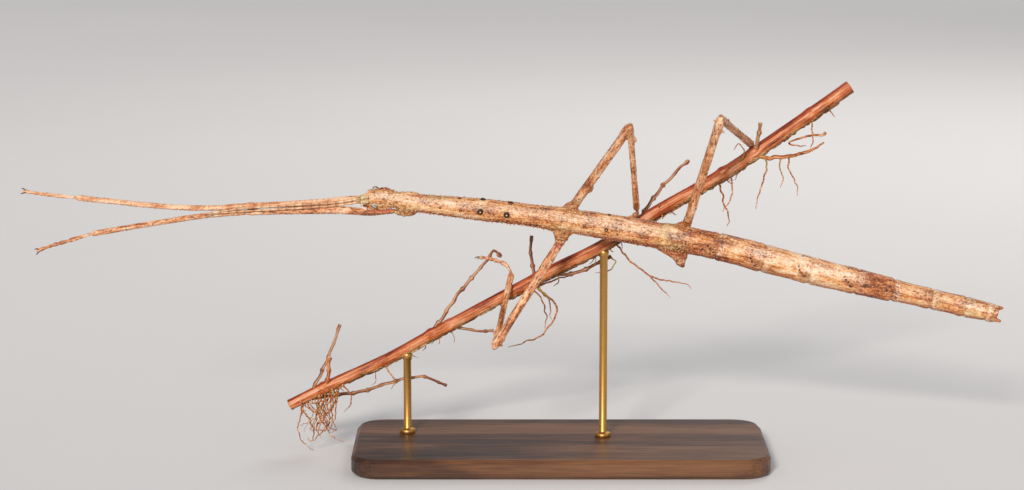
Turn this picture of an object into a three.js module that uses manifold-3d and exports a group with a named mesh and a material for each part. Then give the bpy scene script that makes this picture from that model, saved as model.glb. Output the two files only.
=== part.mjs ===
// A long, twig-like stick insect (female, New Zealand kind) clinging to a cut length of vine
// stem, as a life-size museum model on a small wooden stand.
// Millimetres, +Z up, the head points along -X, and the origin is the middle of the base's underside.

import * as THREE from 'three';
import { mergeVertices } from 'three/addons/utils/BufferGeometryUtils.js';
import Module from 'manifold-3d';

const wasm = await Module();
wasm.setup();

// ---------------------------------------------------------------- driving dimensions

const GAP = 0.16; // open seam between two neighbouring pieces
const CUT_GAP = 0.22; // clearance round a piece that another one is cut to fit
const KNEE_GAP = 0.5; // how far femur and tibia stop short of a sharply bent knee's middle

const BODY_SIDES = 14; // corners of a body ring
const BODY_FLATNESS = 0.92; // height of a body ring over its width
const ROLL = THREE.MathUtils.degToRad(26); // the back faces the front (-Y) side, turned this far up

// The middle line of head and body: almost straight, bending gently down towards the tail.
const BODY_LINE = [
  [-38.6, -5, 54.7],
  [-33.9, -5, 54.4],
  [-28.2, -5, 53.6],
  [-10.2, -5, 51.7],
  [4, -5, 49.7],
  [19.6, -5, 47.1],
  [31.2, -5, 44.9],
  [49.9, -5, 40.0],
  [66.6, -5, 36.0],
  [90.5, -5, 30.4],
];

// Body segments: name, where each starts and ends along X, and [share of its length, width].
const SEGMENTS = [
  ['prothorax', -32.8, -28.2, [[0, 3.0], [0.12, 3.5], [0.42, 3.75], [0.55, 3.5], [0.72, 3.8], [1, 3.4]]],
  ['mesothorax', -28.2, 2.2,
    [[0, 3.4], [0.05, 3.8], [0.2, 4.2], [0.4, 4.5], [0.6, 4.4], [0.8, 4.5], [0.94, 5.0], [1, 4.5]]],
  ['metathorax', 2.2, 19.6, [[0, 4.4], [0.08, 4.8], [0.3, 5.1], [0.55, 5.2], [0.85, 5.3], [1, 5.1]]],
  ['abdomen_1', 19.6, 24.4, [[0, 5.0], [0.2, 5.4], [0.7, 5.6], [1, 5.1]]],
  ['abdomen_2', 24.4, 31.2, [[0, 5.0], [0.12, 5.3], [0.6, 5.3], [0.9, 5.5], [1, 5.1]]],
  ['abdomen_3', 31.2, 40.5, [[0, 5.1], [0.1, 5.4], [0.6, 5.6], [0.92, 5.8], [1, 5.3]]],
  ['abdomen_4', 40.5, 49.9, [[0, 5.2], [0.1, 5.5], [0.6, 5.5], [0.92, 5.7], [1, 5.2]]],
  ['abdomen_5', 49.9, 59.2, [[0, 5.1], [0.1, 5.4], [0.6, 5.3], [0.92, 5.3], [1, 4.9]]],
  ['abdomen_6', 59.2, 66.6, [[0, 4.8], [0.1, 5.1], [0.6, 4.9], [0.92, 4.7], [1, 4.3]]],
  ['abdomen_7', 66.6, 74.3, [[0, 4.1], [0.12, 4.3], [0.6, 4.1], [0.9, 4.3], [1, 3.9]]],
  ['abdomen_8', 74.3, 81.0, [[0, 3.8], [0.15, 4.0], [0.6, 3.9], [0.9, 4.2], [1, 3.8]]],
  ['abdomen_9', 81.0, 85.4, [[0, 3.7], [0.2, 4.0], [0.7, 3.9], [1, 3.7]]],
  ['abdomen_10', 85.4, 87.6, [[0, 3.5], [0.3, 3.8], [0.8, 3.7], [1, 2.9]]],
];

// The head capsule: share of its length from the front, width and height.
const HEAD_START = -38.4;
const HEAD_END = -32.8;
const HEAD_RINGS = [
  [0, 1.5, 1.5],
  [0.08, 2.7, 2.4],
  [0.2, 3.6, 3.0],
  [0.42, 4.0, 3.3],
  [0.65, 4.0, 3.5],
  [0.82, 3.5, 3.3],
  [1, 2.8, 2.9],
];
const EYE_RADIUS = 0.66;
const EYE_STATION = -37.1;
const EYE_SIDEWAYS = 1.7;
const EYE_UPWARDS = 0.5;

// The mouth below the head: places as station along X, distance to the right, distance to the back.
const MOUTH_LINE = [[-37.6, 0, -1.35], [-38.7, -0.1, -1.25], [-39.3, -0.2, -1.3]];
const MOUTH_PROFILE = [[0, 1.7, 0.9], [0.4, 1.9, 1.1], [0.8, 1.3, 0.9], [1, 0.8, 0.6]];
const MOUTH_ORIGIN = [-37.8, 0, -1.4];
const PALP_LINE = [[-38.6, 0.6, -1.2], [-39.2, 1.0, -1.0], [-39.7, 1.15, -0.9]]; // of the right palp
const PALP_WIDTH = [0.55, 0.5]; // at its root and at its tip

// The tail: the egg-laying plate under the last segments, and the two short fingers (cerci).
const PLATE_STATIONS = [75.5, 79, 83, 86, 87.6];
const PLATE_BELOW = 1.75;
const PLATE_PROFILE = [[0, 1.6, 0.9], [0.3, 2.9, 1.4], [0.7, 2.6, 1.5], [1, 1.0, 0.8]];
const CERCUS_LINE = [[87.75, 1.2, 0.1], [88.3, 1.28, 0.1], [88.8, 1.36, 0.1]]; // of the right finger
const CERCUS_PROFILE = [[0, 0.8, 0.7], [0.5, 0.8, 0.7], [1, 0.5, 0.5]];

// Legs. Each has a hip on the body (station along X, distance sideways and below the middle),
// then its joints, in mm: the end of the coxa, the bends of the femur, the knee, the ankle, the foot.
const LEGS = {
  fore_left: {
    side: 'left', hip: [-29.6, 1.1, 1.2], coxa_end: [-32.9, -5.7, 52.15],
    femur_bends: [[-37.7, -5.6, 51.75], [-43.1, -5.2, 52.2], [-52.1, -5.0, 52.0]],
    knee: [-62.7, -5.0, 51.8], ankle: [-93.9, -5.0, 47.4], tibia_bends: [[-71, -5, 51.1], [-79, -5, 49.9]],
    foot: [[-99.4, -5.0, 45.7], [-102.0, -5.1, 45.0], [-104.4, -5.2, 44.1]],
    kind: 'fore',
  },
  fore_right: {
    side: 'right', hip: [-29.6, 1.1, 1.2], coxa_end: [-32.9, -2.3, 54.5],
    femur_bends: [[-36.9, -2.0, 54.2], [-39.8, -3.1, 54.1], [-43.2, -4.1, 54.0], [-52.2, -5.0, 53.45]],
    knee: [-63.3, -5.0, 53.0], ankle: [-96.8, -5.0, 54.7],
    tibia_bends: [[-70.1, -5, 52.6], [-79.5, -5, 52.95], [-90.1, -5, 54.0]],
    foot: [[-102.1, -5.0, 55.3], [-104.4, -5.0, 55.6], [-106.8, -5.1, 56.0]],
    kind: 'fore',
  },
  mid_left: {
    side: 'left', hip: [0.6, 1.9, 0.7], coxa_end: [-0.4, -5.8, 45.2],
    femur_bends: [],
    knee: [-12.8, -9.8, 25.9], ankle: [-9.9, 5.2, 37.4], tibia_bends: [],
    foot: [[-11.0, 5.6, 39.1], [-12.9, 5.0, 40.0], [-14.9, 5.2, 40.5], [-16.3, 6.2, 40.5]],
    kind: 'walking',
  },
  mid_right: {
    side: 'right', hip: [0.6, 1.9, 0.7], coxa_end: [2.9, -2.9, 53.0],
    femur_bends: [],
    knee: [13.2, -15.2, 70.3], ankle: [15.2, -2.6, 51.9], tibia_bends: [],
    foot: [[15.4, -0.9, 50.8], [14.6, 0.6, 50.1], [12.8, 0.9, 48.8], [10.6, 1.2, 47.4]],
    kind: 'walking',
  },
  hind_left: {
    side: 'left', hip: [22.0, 1.9, 0.9], coxa_end: [24.0, -5.3, 42.2],
    femur_bends: [],
    knee: [27.1, 22.0, 39.9], ankle: [10.9, 4.1, 45.8], tibia_bends: [],
    foot: [[9.7, 3.8, 44.4], [8.1, 3.9, 43.4], [6.1, 4.2, 42.2]],
    kind: 'walking',
  },
  hind_right: {
    side: 'right', hip: [22.6, 1.9, 0.9], coxa_end: [25.6, -2.6, 48.7],
    femur_bends: [],
    knee: [30.7, -17.5, 72.2], ankle: [38.9, 6.3, 63.7], tibia_bends: [],
    foot: [[39.9, 6.4, 62.5], [41.5, 6.4, 63.5], [43.5, 6.6, 64.8]],
    kind: 'walking',
  },
};

// Thickness of the leg pieces: [share of the length, width, height].
const COXA_PROFILE = [[0, 1.7, 1.7], [0.35, 2.0, 2.0], [0.75, 1.7, 1.8], [1, 1.2, 1.3]];
const FEMUR_PROFILE = {
  fore: [[0, 0.8, 0.8], [0.04, 0.75, 0.75], [0.12, 0.8, 0.8], [0.22, 1.4, 1.2], [0.34, 1.65, 1.3],
    [0.6, 1.35, 1.2], [0.9, 1.15, 1.1], [0.97, 1.35, 1.3], [1, 1.0, 1.0]],
  walking: [[0, 1.0, 1.1], [0.05, 1.35, 1.4], [0.12, 1.6, 1.55], [0.2, 1.95, 1.7], [0.26, 1.6, 1.5],
    [0.5, 1.65, 1.5], [0.85, 1.55, 1.4], [0.95, 1.8, 1.6], [1, 1.3, 1.2]],
};
const TIBIA_PROFILE = {
  fore: [[0, 0.85, 0.85], [0.03, 1.2, 1.1], [0.1, 1.1, 1.0], [0.5, 1.1, 1.0], [0.9, 1.1, 1.0],
    [1, 0.85, 0.85]],
  walking: [[0, 0.95, 0.95], [0.04, 1.4, 1.3], [0.12, 1.25, 1.1], [0.18, 1.7, 1.2], [0.24, 1.2, 1.1],
    [0.6, 1.15, 1.05], [0.93, 1.25, 1.15], [1, 0.9, 0.9]],
};
const TARSUS_JOINTS = [0, 0.42, 0.6, 0.72, 0.82, 1]; // where the five foot segments meet
const TARSUS_THICK = 0.78;
const TARSUS_MIDDLE = 0.66;
const TARSUS_THIN = 0.52;
const TARSUS_PINCH = 0.035; // share of the foot from a segment's thick end to the pinch after it
const CLAW_LINE = [[-0.3, 0.05, 0], [0.55, 0.45, 0.05], [1.1, 0.58, 0.4]]; // forwards, outwards, down
const CLAW_PROFILE = [[0, 0.5, 0.5], [0.5, 0.42, 0.42], [1, 0.2, 0.2]];

const HIP_REACH = 5; // a hip is cut to fit the segments that are this near to it
const ANTENNA_THICK = 0.6;
const ANTENNA_THIN = 0.5;
const SCAPE_PROFILE = [[0, 0.75, 0.6], [0.03, 1.0, 0.7], [0.055, 0.6, 0.6]];
const ANTENNAE = {
  antenna_left: [[-38.9, -6.5, 54.1], [-40.2, -6.35, 54.0], [-42.1, -6.0, 53.55], [-46.9, -6.1, 53.05],
    [-54.0, -6.2, 52.65], [-62.0, -6.15, 52.25], [-67.0, -6.1, 51.9], [-71.0, -5.95, 50.95]],
  antenna_right: [[-38.8, -6.25, 55.2], [-40.2, -6.3, 54.9], [-44.8, -6.2, 54.1], [-54.0, -6.15, 53.5],
    [-59.6, -6.15, 53.2], [-64.0, -6.2, 52.75], [-70.8, -6.2, 51.7]],
};

// The vine stem and its side twigs.
const STEM_LINE = [
  [-55.6, 6.2, 9.7],
  [-47.3, 6.0, 13.9],
  [-35.2, 5.6, 19.6],
  [-25.8, 5.3, 24.9],
  [-11.4, 4.5, 32.9],
  [-0.1, 3.1, 39.2],
  [7.1, 2.2, 42.9],
  [19.4, 1.5, 50.8],
  [32.7, 3.4, 58.1],
  [43.7, 4.7, 65.4],
  [58.5, 6.2, 75.6],
];
const STEM_WIDTH = [2.2, 2.7]; // at the low end and at the high end
const TWIGS = {
  twig_gripped: {
    line: [[-26.4, 5.3, 25.0], [-21.1, 5.8, 32.5], [-16.3, 6.2, 38.5], [-14.9, 6.4, 40.0],
      [-13.6, 6.7, 41.9], [-11.9, 7.0, 40.5]],
    width: [1.05, 0.65],
  },
  twig_upright: { line: [[-51.0, 6.1, 12.4], [-47.1, 5.4, 21.0], [-45.0, 5.0, 26.9]], width: [0.9, 0.7] },
  twig_stub: { line: [[-48.1, 6.0, 13.5], [-47.4, 4.2, 16.4], [-47.3, 3.2, 20.4]], width: [0.9, 0.75] },
  twig_low: {
    line: [[-53.5, 6.1, 10.7], [-49.9, 8.0, 10.9], [-41.7, 8.3, 12.0], [-31.5, 8.2, 14.9],
      [-28.1, 8.0, 15.3], [-23.3, 7.6, 13.4]],
    width: [1.0, 0.65],
  },
  twig_short: { line: [[-22.5, 5.1, 26.7], [-17.2, 6.6, 25.2], [-13.5, 7.2, 25.0]], width: [0.9, 0.6] },
  twig_middle: { line: [[-5.1, 3.6, 36.6], [-6.0, 5.6, 41.2], [-5.7, 6.2, 45.1]], width: [1.0, 0.6] },
  twig_hooked: { line: [[-3.7, 3.4, 37.5], [4.1, 5.0, 37.8], [10.4, 5.8, 40.8]], width: [1.1, 0.85] },
  twig_high: { line: [[15.4, 1.6, 48.4], [20.0, 4.0, 54.7], [26.0, 5.4, 60.8]], width: [1.2, 0.75] },
  twig_top: { line: [[39.2, 4.2, 62.4], [39.6, 2.3, 65.2], [40.1, 1.6, 69.0]], width: [1.2, 0.8] },
};

const BASE_LENGTH = 84;
const BASE_DEPTH = 36;
const BASE_THICKNESS = 4;
const BASE_CORNER = 5;
const BASE_BEVEL = 0.8;
const ROD_WIDTH = 1.6;
const ROD_FOOT_DEPTH = 2.5; // how far a rod goes down into the base
const RODS = { stand_rod_left: [-31.3, 5.5, 21.6], stand_rod_right: [8.8, 2.2, 44.0] };

const COLOURS = {
  thorax: '#c39a68',
  abdomen: '#cfae86',
  head: '#b98f5c',
  leg: '#b08a66',
  coxa: '#b39a55',
  eye: '#6f6a62',
  antenna: '#c4a27c',
  mouth: '#b5622c',
  stem: '#8a4a35',
  twig: '#8c5f45',
  wood: '#4a2f1f',
  brass: '#b08d4a',
};

// ---------------------------------------------------------------- shape helpers

const vector = ([x, y, z]) => new THREE.Vector3(x, y, z);
const smoothLine = (points) => new THREE.CatmullRomCurve3(points.map(vector), false, 'centripetal');

// A closed solid through rings that all have the same number of corners, with flat ends.
function loft(rings) {
  const sides = rings[0].length;
  const last = rings.length - 1;
  const corners = rings.flat();
  const middleOf = (ring) => ring.reduce((sum, p) => sum.add(p), new THREE.Vector3()).divideScalar(sides);
  corners.push(middleOf(rings[0]), middleOf(rings[last]));
  const startMiddle = corners.length - 2;
  const endMiddle = corners.length - 1;
  const faces = [];
  for (let j = 0; j < sides; j += 1) {
    const next = (j + 1) % sides;
    for (let i = 0; i < last; i += 1) {
      const here = i * sides;
      const ahead = here + sides;
      faces.push(here + j, here + next, ahead + j);
      faces.push(here + next, ahead + next, ahead + j);
    }
    faces.push(startMiddle, next, j);
    faces.push(endMiddle, last * sides + j, last * sides + next);
  }
  const geometry = new THREE.BufferGeometry();
  geometry.setAttribute('position', new THREE.Float32BufferAttribute(corners.flatMap((p) => p.toArray()), 3));
  geometry.setIndex(faces);
  geometry.computeVertexNormals();
  return geometry;
}

// One ring round a point. `across` and `over` are the ring's width and height directions.
function ring(middle, across, over, width, height, sides) {
  return Array.from({ length: sides }, (_, j) => {
    const angle = (j / sides) * Math.PI * 2;
    return middle.clone()
      .addScaledVector(across, Math.cos(angle) * width / 2)
      .addScaledVector(over, Math.sin(angle) * height / 2);
  });
}

// A limb along a smooth line: a profile of [share, width, height] and a direction that is its top.
function limb(points, profile, top, sides = 8, grow = 0) {
  const line = smoothLine(points);
  const rings = profile.map(([share, width, height]) => {
    const along = line.getTangentAt(share);
    const across = new THREE.Vector3().crossVectors(top, along).normalize();
    const over = new THREE.Vector3().crossVectors(along, across);
    return ring(line.getPointAt(share), across, over, width + 2 * grow, height + 2 * grow, sides);
  });
  return loft(rings);
}

// Ring sizes that run evenly from one width to another.
function taper(steps, startWidth, endWidth) {
  return Array.from({ length: steps + 1 }, (_, i) => {
    const share = i / steps;
    const width = THREE.MathUtils.lerp(startWidth, endWidth, share);
    return [share, width, width];
  });
}

// The part of a line between two of its points, pulled in by a gap at either end.
function trimmed(points, startGap, endGap) {
  const ends = points.map(vector);
  const pull = (from, to, gap) => from.clone().add(to.clone().sub(from).setLength(gap));
  const first = pull(ends[0], ends[1], startGap);
  const final = pull(ends[ends.length - 1], ends[ends.length - 2], endGap);
  return [first, ...ends.slice(1, -1), final].map((p) => p.toArray());
}

function toSolid(geometry) {
  const bare = geometry.clone();
  bare.deleteAttribute('normal');
  bare.deleteAttribute('uv');
  const merged = mergeVertices(bare, 1e-5);
  const vertProperties = Float32Array.from(merged.attributes.position.array);
  const triVerts = Uint32Array.from(merged.index.array);
  return new wasm.Manifold(new wasm.Mesh({ numProp: 3, vertProperties, triVerts }));
}

function toGeometry(solid) {
  const mesh = solid.getMesh();
  const geometry = new THREE.BufferGeometry();
  geometry.setAttribute('position', new THREE.Float32BufferAttribute(mesh.vertProperties, 3));
  geometry.setIndex(Array.from(mesh.triVerts));
  geometry.computeVertexNormals();
  return geometry;
}

const carve = (geometry, tools) => toGeometry(
  tools.reduce((solid, tool) => solid.subtract(toSolid(tool)), toSolid(geometry)),
);

const join = (pieces) => toGeometry(
  pieces.slice(1).reduce((solid, piece) => solid.add(toSolid(piece)), toSolid(pieces[0])),
);

const insect = new THREE.Group();

// Puts a piece that was drawn in place into the group, with its own origin at `origin`.
function place(name, geometry, origin, colour, roughness = 0.75, metalness = 0) {
  const material = new THREE.MeshStandardMaterial({ color: colour, roughness, metalness });
  const mesh = new THREE.Mesh(geometry, material);
  const [x, y, z] = origin;
  geometry.translate(-x, -y, -z);
  mesh.position.set(x, y, z);
  mesh.name = name;
  insect.add(mesh);
}

// ---------------------------------------------------------------- head and body

const bodyCurve = smoothLine(BODY_LINE);
const backDirection = new THREE.Vector3(0, -Math.cos(ROLL), Math.sin(ROLL));

// The body's middle, its direction towards the tail, its right side and its back, at a place on X.
function bodyFrame(x) {
  let low = 0;
  let high = 1;
  for (let step = 0; step < 30; step += 1) {
    const half = (low + high) / 2;
    if (bodyCurve.getPoint(half).x < x) low = half;
    else high = half;
  }
  const along = bodyCurve.getTangent(low);
  const right = new THREE.Vector3().crossVectors(backDirection, along).normalize();
  const back = new THREE.Vector3().crossVectors(along, right);
  return { middle: bodyCurve.getPoint(low), along, right, back };
}

// A point beside the body: station on X, distance to the right and distance towards the back.
function besideBody(x, toRight, toBack) {
  const { middle, right, back } = bodyFrame(x);
  return middle.clone().addScaledVector(right, toRight).addScaledVector(back, toBack);
}

function bodyPiece(start, end, profile, grow = 0) {
  const from = start + GAP / 2 - grow;
  const to = end - GAP / 2 + grow;
  return loft(profile.map(([share, width, height]) => {
    const { middle, right, back } = bodyFrame(THREE.MathUtils.lerp(from, to, share));
    const tall = height ?? width * BODY_FLATNESS;
    return ring(middle, right, back, width + 2 * grow, tall + 2 * grow, BODY_SIDES);
  }));
}

function eyeBall(toRight, grow) {
  const ball = new THREE.SphereGeometry(EYE_RADIUS + grow, 10, 7);
  const { x, y, z } = besideBody(EYE_STATION, toRight, EYE_UPWARDS);
  return ball.translate(x, y, z);
}

function buildHead() {
  const sockets = [eyeBall(-EYE_SIDEWAYS, GAP), eyeBall(EYE_SIDEWAYS, GAP)];
  const skull = carve(bodyPiece(HEAD_START, HEAD_END, HEAD_RINGS), sockets);
  place('head', skull, bodyFrame(HEAD_END).middle.toArray(), COLOURS.head);
  [['eye_left', -EYE_SIDEWAYS], ['eye_right', EYE_SIDEWAYS]].forEach(([name, toRight]) => {
    const middle = besideBody(EYE_STATION, toRight, EYE_UPWARDS).toArray();
    place(name, eyeBall(toRight, 0), middle, COLOURS.eye, 0.3);
  });
}

// The jaws and lips: a short block under the front of the head with two feelers (palps) forward.
function buildMouth() {
  const back = bodyFrame(HEAD_START).back;
  const headLine = (places) => places.map((place) => besideBody(...place).toArray());
  const block = limb(headLine(MOUTH_LINE), MOUTH_PROFILE, back);
  const palps = [-1, 1].map((side) => limb(
    headLine(PALP_LINE.map(([x, toRight, toBack]) => [x, side * toRight, toBack])),
    taper(3, ...PALP_WIDTH),
    back,
    6,
  ));
  const headCutter = bodyPiece(HEAD_START, HEAD_END, HEAD_RINGS, CUT_GAP);
  const mouth = carve(join([block, ...palps]), [headCutter]);
  place('mouthparts', mouth, besideBody(...MOUTH_ORIGIN).toArray(), COLOURS.mouth, 0.6);
}

function buildAntennae() {
  Object.entries(ANTENNAE).forEach(([name, line]) => {
    const rings = taper(14, ANTENNA_THICK, ANTENNA_THIN);
    const [scapeEnd] = SCAPE_PROFILE[SCAPE_PROFILE.length - 1];
    const profile = [...SCAPE_PROFILE, ...rings.filter(([share]) => share > scapeEnd)];
    place(name, limb(line, profile, bodyFrame(HEAD_START).back, 6), line[0], COLOURS.antenna);
  });
}

function buildBody() {
  SEGMENTS.forEach(([name, start, end, profile]) => {
    const colour = name.startsWith('abdomen') ? COLOURS.abdomen : COLOURS.thorax;
    place(name, bodyPiece(start, end, profile), bodyFrame(start).middle.toArray(), colour);
  });
}

// The egg-laying plate is a narrow boat under the last segments; the cerci are two small fingers.
function buildTail() {
  const plateCutters = SEGMENTS.filter(([, , end]) => end > PLATE_STATIONS[0])
    .map(([, start, end, profile]) => bodyPiece(start, end, profile, CUT_GAP));
  const keel = PLATE_STATIONS.map((x) => besideBody(x, 0, -PLATE_BELOW).toArray());
  const plate = limb(keel, PLATE_PROFILE, backDirection, 10);
  place('ovipositor_plate', carve(plate, plateCutters), keel[0], COLOURS.abdomen);
  [['cercus_left', -1], ['cercus_right', 1]].forEach(([name, side]) => {
    const line = CERCUS_LINE.map(([x, toRight, toBack]) => besideBody(x, side * toRight, toBack).toArray());
    place(name, limb(line, CERCUS_PROFILE, backDirection, 6), line[0], COLOURS.abdomen);
  });
}

// ---------------------------------------------------------------- legs

// The foot: five short segments that taper and pinch where they meet, two claws and a pad.
function footProfile() {
  const rings = [];
  TARSUS_JOINTS.forEach((share, i) => {
    const isLast = i === TARSUS_JOINTS.length - 1;
    const slim = i / (TARSUS_JOINTS.length - 1);
    const thick = isLast ? TARSUS_THICK : THREE.MathUtils.lerp(TARSUS_THICK, TARSUS_MIDDLE, slim);
    if (i > 0) rings.push([share - TARSUS_PINCH, thick, thick * BODY_FLATNESS]);
    if (!isLast) rings.push([share, TARSUS_THIN, TARSUS_THIN]);
  });
  rings.push([1, TARSUS_THIN, TARSUS_THIN]);
  return rings;
}

function claws(points, top) {
  const tip = vector(points[points.length - 1]);
  const along = tip.clone().sub(vector(points[points.length - 2])).normalize();
  const across = new THREE.Vector3().crossVectors(top, along).normalize();
  const under = new THREE.Vector3().crossVectors(across, along);
  return [-1, 1].map((side) => {
    const line = CLAW_LINE.map(([forward, outward, down]) => tip.clone()
      .addScaledVector(along, forward)
      .addScaledVector(across, side * outward)
      .addScaledVector(under, down)
      .toArray());
    return limb(line, CLAW_PROFILE, top, 5);
  });
}

function buildLeg(name, leg) {
  const sign = leg.side === 'left' ? -1 : 1;
  const [station, sideways, below] = leg.hip;
  const top = leg.kind === 'fore' ? backDirection : bodyFrame(station).along;
  const hip = besideBody(station, sign * sideways, -below).toArray();
  const kneeGap = leg.kind === 'fore' ? GAP / 2 : KNEE_GAP;
  const coxaLine = trimmed([hip, leg.coxa_end], 0, GAP / 2);
  const femurLine = trimmed([leg.coxa_end, ...leg.femur_bends, leg.knee], GAP / 2, kneeGap);
  const tibiaLine = trimmed([leg.knee, ...leg.tibia_bends, leg.ankle], kneeGap, GAP / 2);
  const footLine = trimmed([leg.ankle, ...leg.foot], GAP / 2, 0);
  const coxa = (grow) => limb(coxaLine, COXA_PROFILE, top, 10, grow);
  const femur = (grow) => limb(femurLine, FEMUR_PROFILE[leg.kind], top, 8, grow);
  const tibia = (grow) => limb(tibiaLine, TIBIA_PROFILE[leg.kind], top, 8, grow);
  const foot = join([limb(footLine, footProfile(), top, 6), ...claws(footLine, top)]);
  const trunk = SEGMENTS.filter(([, start, end]) => start < station + HIP_REACH && end > station - HIP_REACH)
    .map(([, start, end, profile]) => bodyPiece(start, end, profile, CUT_GAP));
  trunk.push(bodyPiece(HEAD_START, HEAD_END, HEAD_RINGS, CUT_GAP));
  const perch = [stemPiece(CUT_GAP), twigPiece(TWIGS.twig_gripped, CUT_GAP)];

  place(`coxa_${name}`, carve(coxa(0), trunk), leg.coxa_end, COLOURS.coxa);
  place(`femur_${name}`, carve(femur(0), [...trunk, coxa(GAP)]), leg.coxa_end, COLOURS.leg);
  place(`tibia_${name}`, carve(tibia(0), [femur(GAP), ...perch]), leg.knee, COLOURS.leg);
  place(`tarsus_${name}`, carve(foot, [tibia(GAP), ...perch]), leg.ankle, COLOURS.leg);
}

// ---------------------------------------------------------------- perch and stand

function stemPiece(grow = 0) {
  return limb(STEM_LINE, taper(18, ...STEM_WIDTH), new THREE.Vector3(0, 0, 1), 10, grow);
}

function twigPiece({ line, width }, grow = 0) {
  return limb(line, taper(line.length > 3 ? 10 : 6, ...width), new THREE.Vector3(0, 1, 0), 7, grow);
}

function buildPerch() {
  place('perch_stem', stemPiece(), STEM_LINE[0], COLOURS.stem, 0.45);
  Object.entries(TWIGS).forEach(([name, twig]) => {
    place(`perch_${name}`, carve(twigPiece(twig), [stemPiece(CUT_GAP)]), twig.line[0], COLOURS.twig);
  });
}

function rodPiece([x, y, top], grow = 0) {
  const height = top - (BASE_THICKNESS - ROD_FOOT_DEPTH) + grow;
  const rod = new THREE.CylinderGeometry(ROD_WIDTH / 2 + grow, ROD_WIDTH / 2 + grow, height, 12);
  rod.rotateX(Math.PI / 2);
  return rod.translate(x, y, top - height / 2 + (grow > 0 ? 0 : GAP));
}

function buildStand() {
  const halfLength = BASE_LENGTH / 2 - BASE_BEVEL;
  const halfDepth = BASE_DEPTH / 2 - BASE_BEVEL;
  const outline = new THREE.Shape();
  outline.moveTo(-halfLength + BASE_CORNER, -halfDepth);
  outline.lineTo(halfLength - BASE_CORNER, -halfDepth);
  outline.absarc(halfLength - BASE_CORNER, -halfDepth + BASE_CORNER, BASE_CORNER, -Math.PI / 2, 0);
  outline.absarc(halfLength - BASE_CORNER, halfDepth - BASE_CORNER, BASE_CORNER, 0, Math.PI / 2);
  outline.absarc(-halfLength + BASE_CORNER, halfDepth - BASE_CORNER, BASE_CORNER, Math.PI / 2, Math.PI);
  outline.absarc(-halfLength + BASE_CORNER, -halfDepth + BASE_CORNER, BASE_CORNER, Math.PI, Math.PI * 1.5);
  const board = new THREE.ExtrudeGeometry(outline, {
    depth: BASE_THICKNESS - 2 * BASE_BEVEL,
    bevelThickness: BASE_BEVEL,
    bevelSize: BASE_BEVEL,
    bevelSegments: 1,
    curveSegments: 3,
  });
  board.translate(0, 0, BASE_BEVEL);
  const holes = Object.values(RODS).map((rod) => rodPiece(rod, GAP));
  place('stand_base', carve(board, holes), [0, 0, 0], COLOURS.wood, 0.5);
  Object.entries(RODS).forEach(([name, rod]) => {
    const [x, y] = rod;
    place(name, carve(rodPiece(rod), [stemPiece(CUT_GAP)]), [x, y, BASE_THICKNESS], COLOURS.brass, 0.3, 1);
  });
}

buildHead();
buildMouth();
buildAntennae();
buildBody();
buildTail();
Object.entries(LEGS).forEach(([name, leg]) => buildLeg(name, leg));
buildPerch();
buildStand();

export default insect;
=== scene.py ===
# %% [markdown]
# # A stick insect on a cut stem
#
# A life-size museum model of a long New Zealand stick insect.
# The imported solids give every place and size; this lesson gives them their surfaces.
# Lengths are worked out in millimetres and turned to metres once, when a mesh is finished.
# The order is: frame and camera, small tools, skin, head pieces, perch, stand, light.

# %% The frame
import math
import bpy
import numpy as np
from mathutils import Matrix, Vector, noise
from mathutils.bvhtree import BVHTree


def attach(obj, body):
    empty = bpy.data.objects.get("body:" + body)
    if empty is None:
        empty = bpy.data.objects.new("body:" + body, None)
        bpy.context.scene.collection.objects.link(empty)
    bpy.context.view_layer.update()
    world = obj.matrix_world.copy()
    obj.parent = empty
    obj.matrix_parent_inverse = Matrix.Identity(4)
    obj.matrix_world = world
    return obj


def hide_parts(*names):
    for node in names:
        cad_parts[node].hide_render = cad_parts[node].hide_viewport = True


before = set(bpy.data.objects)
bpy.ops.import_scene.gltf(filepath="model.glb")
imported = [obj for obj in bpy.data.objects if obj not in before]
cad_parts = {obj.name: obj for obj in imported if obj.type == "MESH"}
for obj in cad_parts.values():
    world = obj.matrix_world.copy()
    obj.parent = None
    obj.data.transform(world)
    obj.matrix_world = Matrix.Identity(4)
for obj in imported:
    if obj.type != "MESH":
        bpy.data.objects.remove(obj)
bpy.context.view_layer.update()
MM = 0.001
scene = bpy.context.scene
print("solids:", len(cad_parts))

# %% [markdown]
# ## The camera
#
# A camera is a place, a direction and a lens.
# A 100 mm lens from about 57 cm away shows the whole insect with little perspective.
# It looks 10 degrees down, so that the floor stays below it and the back faces it.

# %% The camera
CAMERA_PLACE = (-9.807, -565.356, 143.936)
CAMERA_DOWN = math.radians(10)
eye_point = bpy.data.cameras.new("camera")
eye_point.lens = 100
eye_point.sensor_width = 36
eye_point.clip_start = 0.01
eye_point.clip_end = 50
camera = bpy.data.objects.new("camera", eye_point)
camera.location = Vector(CAMERA_PLACE) * MM
camera.rotation_euler = (math.pi / 2 - CAMERA_DOWN, 0, 0)
scene.collection.objects.link(camera)
scene.camera = camera

# %% [markdown]
# ## Colours and nodes
#
# A shader works in linear light, while a colour picker gives sRGB hex codes.
# One function turns a code into the linear colour.
# One more adds a node: its kind, its settings, and for each socket a value or a link.
# It hands back a socket, so that nodes can be written one inside the other.

# %% Colours and nodes
def linear(code):
    """An sRGB hex code as linear red, green, blue and alpha."""
    parts = [int(code[i:i + 2], 16) / 255 for i in (1, 3, 5)]
    parts = [c / 12.92 if c <= 0.04045 else ((c + 0.055) / 1.055) ** 2.4 for c in parts]
    return (*parts, 1.0)


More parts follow.
